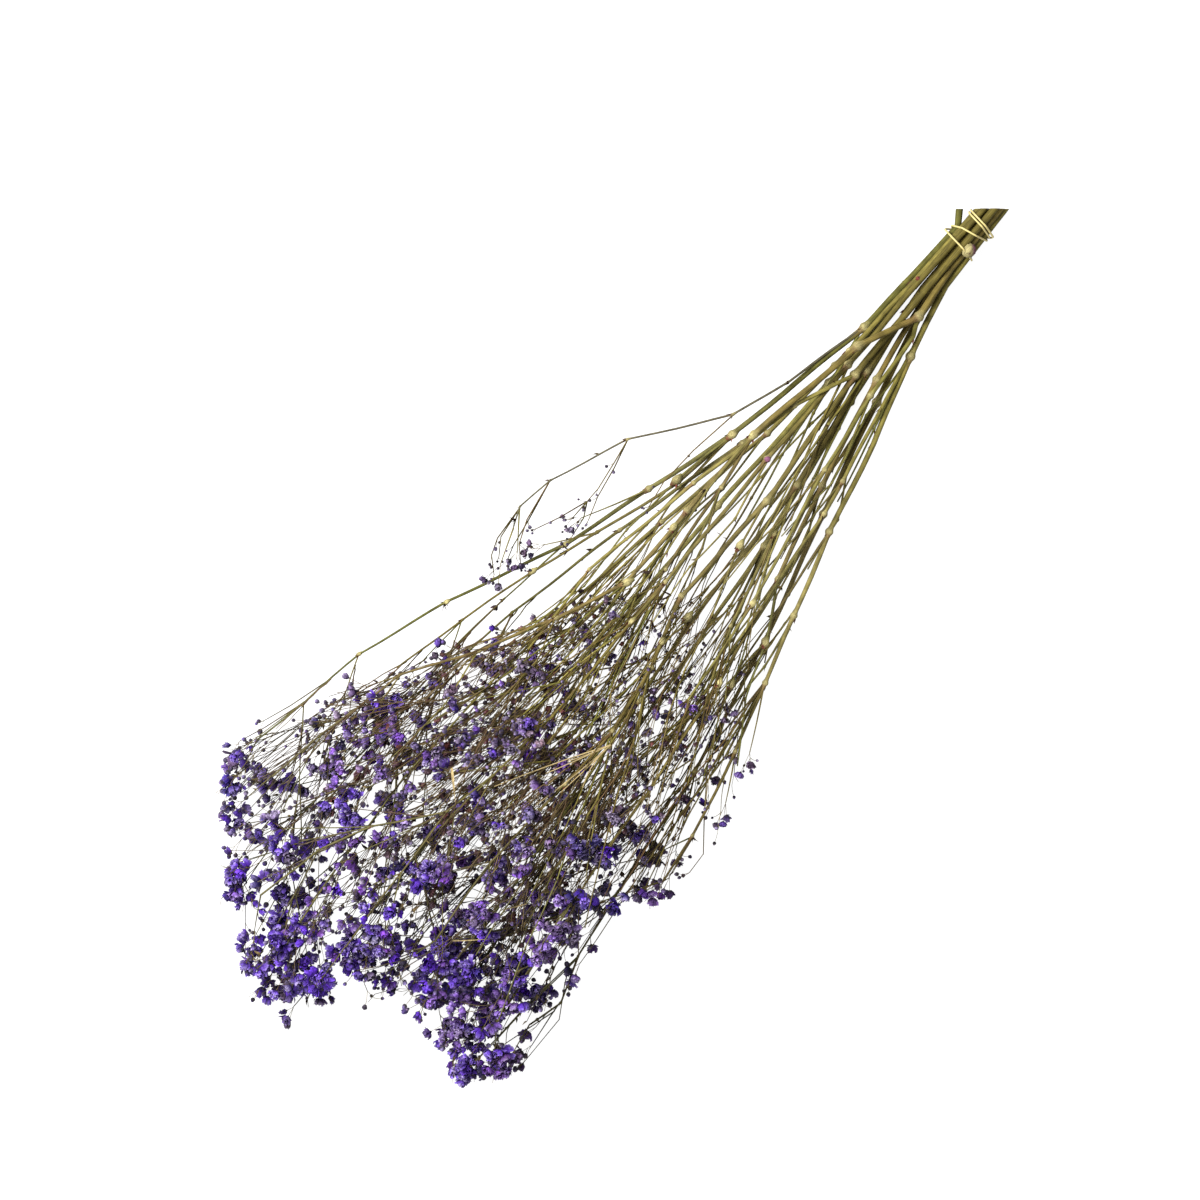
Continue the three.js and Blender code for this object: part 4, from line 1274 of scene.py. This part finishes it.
# Each layer of petals: how many, their length and width, where they start, and how far they lean out at
# each row
OPEN_LAYERS = (
    (8, 5.2, 2.9, 0.6, -3.7, (1.4, 1.25, 0.7, 0.2)),
    (7, 4.8, 2.4, 0.5, -3.4, (1.2, 0.95, 0.4, 0.0)),
    (5, 4.2, 1.9, 0.3, -3.2, (0.8, 0.5, 0.2, 0.0)),
)
HALF_LAYERS = (
    (7, 4.6, 2.2, 0.5, -4.0, (1.2, 0.7, 0.1, -0.3)),
    (5, 4.3, 1.8, 0.3, -3.6, (0.8, 0.4, 0.0, -0.2)),
)
open_blooms = [make_bloom(OPEN_LAYERS, 1.0) for _ in range(14)]
half_blooms = [make_bloom(HALF_LAYERS, 0.9) for _ in range(8)]
buds = [make_bud() for _ in range(6)]

# The shapes for each kind of bloom, and its least and largest size
SHAPES = {OPEN: (open_blooms, 0.92, 1.08), HALF: (half_blooms, 0.92, 1.08),
          WITHERED: (half_blooms, 0.92, 1.08), BUD: (buds, 0.75, 1.2)}

# The dye took differently from spray to spray: each bloom leans towards the colour of the nearest patch
PATCHES = 90
patch_places = np.stack([rng.uniform(-650, -280, PATCHES), rng.uniform(-130, 130, PATCHES)], 1)
patch_picks = rng.random(PATCHES)


def frames_for(directions):
    """A turned frame for each direction, with a random roll"""
    side = np.cross(directions, np.eye(3)[np.argmin(np.abs(directions), axis=1)])
    side /= np.linalg.norm(side, axis=1, keepdims=True)
    up = np.cross(directions, side)
    roll = rng.uniform(0, 2 * np.pi, (len(directions), 1))
    x = side * np.cos(roll) + up * np.sin(roll)
    return np.stack([x, np.cross(directions, x), directions], 2)


def bloom_colours(places):
    """A colour for each bloom: dull and brownish low in the bunch, and more saturated towards the tips"""
    n = len(places)
    x, y, _ = places.T
    gaps = np.linalg.norm(places[:, None, :2] - patch_places[None], axis=2)
    nearest = patch_picks[np.argmin(gaps, axis=1)]
    far = np.clip((-x - 420) / 130, 0, 1)
    pick = np.where(rng.random(n) < 0.65, nearest, rng.random(n))
    tint = np.tile(VIOLET, (n, 1))
    tint[pick < 0.2] = DEEP
    tint[(pick > 0.66) & (pick < 0.84)] = LILAC
    tint[pick > 0.84] = PURPLE
    tint = mix(tint, VIOLET, rng.random(n) * 0.5)
    faint = np.clip((1 - far) * rng.uniform(0.1, 1.0, n) + rng.uniform(-0.5, 0.3, n), 0, 0.95)
    withered = (rng.random(n) < 0.22 + 0.25 * (1 - far)) * rng.uniform(0.6, 1, n)
    spared = faint * np.where(x < -500, 0.2, 0.75)
    faint = np.where([in_crowd(place) for place in places], spared, np.maximum(faint, withered))
    faint = np.maximum(faint, np.where((x > -375) & (y > 60), 0.85, np.where(x > -330, 0.7, 0)))
    dull = mix(DULL, SLATE, rng.random(n))
    # The last factor is painted shade deep in the bunch and painted light near its top
    return mix(tint, dull, faint) * rng.uniform(0.7, 1.2, (n, 1)) * depth_shade(places)[:, None]


def bud_tints(places, height):
    n = len(places)
    dark = mix(SLATE, CALYX, rng.random(n)) * rng.uniform(0.5, 1.3, (n, 1))
    petals = mix(bloom_colours(places), FADED, rng.random(n) * 0.5)
    return mix(dark[:, None], petals[:, None], np.clip(height * 2 - 1, 0, 1)[None])


def petal_tints(kind, places, reach, shade):
    """Colours for blooms of one shape: painted shade towards the petals' bases, deep between them, and pale
    edges that are partly faded dye and partly painted highlight
    """
    n = len(places)
    withered = kind == WITHERED
    if withered:
        dye = mix(DULL, COLLAR, rng.random(n)) * rng.uniform(0.4, 1, (n, 1))
    else:
        dye = bloom_colours(places)
    # Painted shade: darkest at each petal's base, deep in the bloom, times each petal's and point's own
    # shade
    depth = (0.35 + 0.75 * np.clip(reach, 0, 1)) * np.clip(1 + 0.5 * shade, 0.15, 2)
    # Pale edges: partly faded dye, partly painted highlight
    fade_and_highlight = np.clip(reach, 0, 1) ** 3 * rng.uniform(0, 0.5, (n, 1))
    fade_and_highlight = fade_and_highlight * rng.uniform(0.3, 1.5, fade_and_highlight.shape) * (0.4 if withered else 1)
    tints = mix(dye[:, None] * depth[None, :, None], FADED, np.clip(fade_and_highlight, 0, 0.85))
    tints[:, reach < 0] = CALYX
    return tints


def build_blooms(soup, stem):
    """All of a stem's blooms and buds: each one is a turned copy of one of the shapes of its kind"""
    for kind, (shapes, least, most) in SHAPES.items():
        mine = [bloom for bloom in blooms if bloom[0] == stem and bloom[4] == kind]
        choice = rng.integers(0, len(shapes), len(mine))
        for number, (points, quads, triangles, reach, shade) in enumerate(shapes):
            picked = [bloom for bloom, chosen in zip(mine, choice) if chosen == number]
            if not picked:
                continue
            _, places, directions, sizes, _ = (np.array(column) for column in zip(*picked))
            turn = frames_for(directions)
            sizes = sizes * rng.uniform(least, most, len(picked))
            placed = np.einsum("nij,kj->nki", turn, points) * sizes[:, None, None] + places[:, None]
            tints = (bud_tints(places, reach) if kind == BUD else petal_tints(kind, places, reach, shade))
            first = (np.arange(len(picked)) * len(points))[:, None, None]
            placed = placed.reshape(-1, 3)
            soup.append((placed, (quads + first).reshape(-1, 4), (triangles + first).reshape(-1, 3),
                         tints.reshape(-1, 3), placed))


def shader(name, roughness, shine):
    material = bpy.data.materials.new(name)
    material.use_nodes = True
    surface = material.node_tree.nodes["Principled BSDF"]
    surface.inputs["Roughness"].default_value = roughness
    surface.inputs["Specular IOR Level"].default_value = shine
    return material, surface


def new_node(tree, kind, source, goal, **values):
    """A shader node fed from a source, with values for some of its inputs"""
    node = tree.nodes.new(kind)
    tree.links.new(source, node.inputs[goal])
    for name, value in values.items():
        node.inputs[name].default_value = value
    return node


def attribute(tree, name):
    node = tree.nodes.new("ShaderNodeAttribute")
    node.attribute_name = name
    return node


def ramp(tree, source, stops):
    node = new_node(tree, "ShaderNodeValToRGB", source, "Fac")
    for element, (position, level) in zip(node.color_ramp.elements, stops):
        element.position = position
        element.color = (level, level, level, 1)
    return node.outputs["Color"]


def times(tree, a, b):
    node = tree.nodes.new("ShaderNodeMix")
    node.data_type = "RGBA"
    node.blend_type = "MULTIPLY"
    node.inputs["Factor"].default_value = 1
    tree.links.new(a, node.inputs["A"])
    tree.links.new(b, node.inputs["B"])
    return node.outputs["Result"]


def dry_material(name, roughness, shine, noises, bump=0):
    """A surface in its piece's own tints, times some noises: each with how it is stretched along the
    grain, its scale and detail, and two stops of a grey ramp. The first one also makes the bumps."""
    material, surface = shader(name, roughness, shine)
    tree = material.node_tree
    grain = attribute(tree, "grain").outputs["Vector"]
    shade = attribute(tree, "tint").outputs["Color"]
    heights = []
    for stretch, scale, detail, stops in noises:
        place = new_node(tree, "ShaderNodeMapping", grain, "Vector", Scale=stretch).outputs["Vector"]
        noise = new_node(tree, "ShaderNodeTexNoise", place, "Vector", Scale=scale, Detail=detail)
        heights.append(noise.outputs["Fac"])
        shade = times(tree, shade, ramp(tree, heights[-1], stops))
    tree.links.new(shade, surface.inputs["Base Color"])
    if bump:
        bumps = new_node(tree, "ShaderNodeBump", heights[0], "Height", Strength=0.5, Distance=bump)
        tree.links.new(bumps.outputs["Normal"], surface.inputs["Normal"])
    return material


def make_piece(soup, name, node, material, smooth):
    """Puts a soup into one mesh, in metres in the part's frame, and pressed flat on the surface"""
    points, quads, triangles, tints, grains = zip(*soup)
    firsts = np.cumsum([0] + [len(part) for part in points])
    points = (np.concatenate(points) + ORIGIN_SHIFT) / 1000
    points[:, 2] = np.maximum(points[:, 2], 0)
    quads = np.concatenate([faces + first for faces, first in zip(quads, firsts)])
    triangles = np.concatenate([faces + first for faces, first in zip(triangles, firsts)])
    mesh = bpy.data.meshes.new(name)
    mesh.vertices.add(len(points))
    mesh.vertices.foreach_set("co", points.ravel())
    corners = np.concatenate([quads.ravel(), triangles.ravel()])
    starts = np.concatenate([np.arange(len(quads)) * 4, quads.size + np.arange(len(triangles)) * 3])
    mesh.loops.add(len(corners))
    mesh.loops.foreach_set("vertex_index", corners.astype(np.int32))
    mesh.polygons.add(len(starts))
    mesh.polygons.foreach_set("loop_start", starts.astype(np.int32))
    mesh.polygons.foreach_set("use_smooth", np.full(len(starts), smooth))
    mesh.update(calc_edges=True)
    tint = mesh.attributes.new("tint", "FLOAT_COLOR", "POINT")
    levels = np.clip(np.concatenate(tints), 0, 1)
    tint.data.foreach_set("color", np.column_stack([levels, np.ones(len(levels))]).ravel())
    grain = mesh.attributes.new("grain", "FLOAT_VECTOR", "POINT")
    grain.data.foreach_set("vector", np.concatenate(grains).ravel())
    mesh.validate()
    mesh.materials.append(material)
    piece = bpy.data.objects.new(name, mesh)
    bpy.context.scene.collection.objects.link(piece)
    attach(piece, "root")
    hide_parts(node)


def build_sprays():
    bark = [((0.05, 1.5, 1.5), 2.2, 5, ((0.34, 0.5), (0.66, 1.4))),
            ((1, 1, 1), 0.16, 3, ((0.35, 0.72), (0.65, 1.15)))]
    mottle = [((1, 1, 1), 0.9, 4, ((0.3, 0.45), (0.7, 1.5)))]
    wood = dry_material("dry_stem", 0.75, 0.1, bark, 0.0003)
    petals = dry_material("dyed_petals", 0.85, 0.1, mottle, 0.0002)
    for stem in range(len(STEMS)):
        node = f"spray_{stem + 1:02d}"
        soup = []
        build_wood(soup, stem)
        grow_blades(soup, stem)
        add_flakes(soup, stem)
        if stem == STRAYS_ON:
            grow_scraps(soup)
        make_piece(soup, node + "_wood", node, wood, True)
        soup = []
        build_blooms(soup, stem)
        make_piece(soup, node + "_blooms", node, petals, False)


BAND_RINGS = 288
BAND_SIDES = 12
BAND_TURNS = 4
LAP_START, LAP_RISE = 3.3, 0.2  # where the last turn begins to rise over the first one, and how slowly
LAP_END, LAP_FALL = 4.12, 0.14  # where it is down again, which is past the start


def stem_at(stem, x):
    """A stem's middle at a place along the bunch, and its radius there"""
    points = runs[stem].points
    i = 0
    while points[i + 1][0] > x:
        i += 1
    share = max(0, (x - points[i][0]) / (points[i + 1][0] - points[i][0]))
    return points[i] + (points[i + 1] - points[i]) * share, runs[stem].radii[i]


def band_point(turn):
    """Where the band's middle line lies on the bundle after a number of turns round it"""
    half = math.floor(turn * 2)
    share = turn * 2 - half
    x = BAND_PLACES[half % 8] * (1 - share) + BAND_PLACES[(half + 1) % 8] * share
    out = vec(0, math.cos(turn * 2 * math.pi), math.sin(turn * 2 * math.pi))
    rise = min(1, max(0, (turn - LAP_START) / LAP_RISE))
    down = LAP_END - BAND_TURNS if turn < 1 else LAP_END
    fall = min(1, max(0, (down - turn) / LAP_FALL))
    lift = BAND_LIFT * (fall if turn < 1 else min(rise, fall))
    reaches = []
    for stem in range(len(STEMS)):
        if stem == 0 and 1.5 <= turn <= 3.5:
            continue
        middle, radius = stem_at(stem, x)
        point = middle + out * (radius + BAND_SPACE + BAND_RADIUS + lift)
        point[0] = x
        reaches.append(point)
    return max(reaches, key=lambda point: float(point @ out))


def straightened(line):
    """The band's place along the stems, spread evenly over each half turn's length"""
    half = BAND_RINGS // 8
    for first in range(0, BAND_RINGS, half):
        part = line[first:first + half + 1]
        steps = np.linalg.norm(np.diff(part[:, 1:], axis=0), axis=1)
        share = np.concatenate([[0], np.cumsum(steps)]) / steps.sum()
        part[:, 0] = part[0, 0] + (part[-1, 0] - part[0, 0]) * share
    return line


def build_band():
    line = np.array([band_point(BAND_TURNS * i / BAND_RINGS) for i in range(BAND_RINGS)])
    line = straightened(np.concatenate([line, line[:1]]))
    soup = []
    tints = np.tile(RUBBER, (len(line), 1))
    tube(soup, line, np.full(len(line), BAND_RADIUS), BAND_SIDES, tints, capped=False)
    chalk = [((1, 1, 1), 0.6, 4, ((0.3, 0.82), (0.7, 1.08)))]
    rubber = dry_material("pale_rubber", 0.5, 0.4, chalk)
    make_piece(soup, "band_rubber", "elastic_band", rubber, True)


FLOOR_SIZE = 14
FLOOR_DROP = 0.0003
FLOOR_GLOW = 0.94
SKY_LIGHT = 0.9
LAMP_POWER = 130
LAMP_PLACE = (-0.2, 0.9, 1.5)
WHITE = (1, 1, 1, 1)


def floor_and_light():
    bpy.ops.mesh.primitive_plane_add(size=FLOOR_SIZE, location=(0, 0, -FLOOR_DROP))
    floor = bpy.context.object
    floor.name = "floor"
    material, surface = shader("floor_white", 0.9, 0.1)
    surface.inputs["Base Color"].default_value = (0.1, 0.1, 0.1, 1)
    surface.inputs["Emission Color"].default_value = WHITE
    surface.inputs["Emission Strength"].default_value = FLOOR_GLOW
    floor.data.materials.append(material)
    world = bpy.data.worlds.new("studio")
    bpy.context.scene.world = world
    world.use_nodes = True
    sky = world.node_tree.nodes["Background"]
    sky.inputs["Color"].default_value = WHITE
    sky.inputs["Strength"].default_value = SKY_LIGHT
    lamp = bpy.data.lights.new("softbox", "AREA")
    lamp.shape = "DISK"
    lamp.size = 1.0
    lamp.energy = LAMP_POWER
    holder = bpy.data.objects.new("softbox", lamp)
    holder.location = LAMP_PLACE
    holder.rotation_euler = holder.location.normalized().to_track_quat("Z", "Y").to_euler()
    bpy.context.scene.collection.objects.link(holder)


VIEW_CENTRE = (-0.0097, 0.0205)
VIEW_WIDTH = 0.72
VIEW_HEIGHT = 0.04  # the view's width is measured at this height
CAMERA_LENS = 300
SENSOR = 36


def look_down():
    """The camera looks straight down, turned so that the stems run from top right to bottom left"""
    data = bpy.data.cameras.new("camera")
    data.lens = CAMERA_LENS
    data.sensor_width = SENSOR
    data.clip_end = 50
    camera = bpy.data.objects.new("camera", data)
    away = VIEW_WIDTH * CAMERA_LENS / SENSOR
    turn = Matrix(((VIEW_COS, VIEW_SIN, 0), (-VIEW_SIN, VIEW_COS, 0), (0, 0, 1)))
    camera.matrix_world = Matrix.Translation((*VIEW_CENTRE, VIEW_HEIGHT + away)) @ turn.to_4x4()
    bpy.context.scene.collection.objects.link(camera)
    bpy.context.scene.camera = camera


build_sprays()
build_band()
floor_and_light()
look_down()
bpy.context.scene.view_settings.view_transform = "Standard"
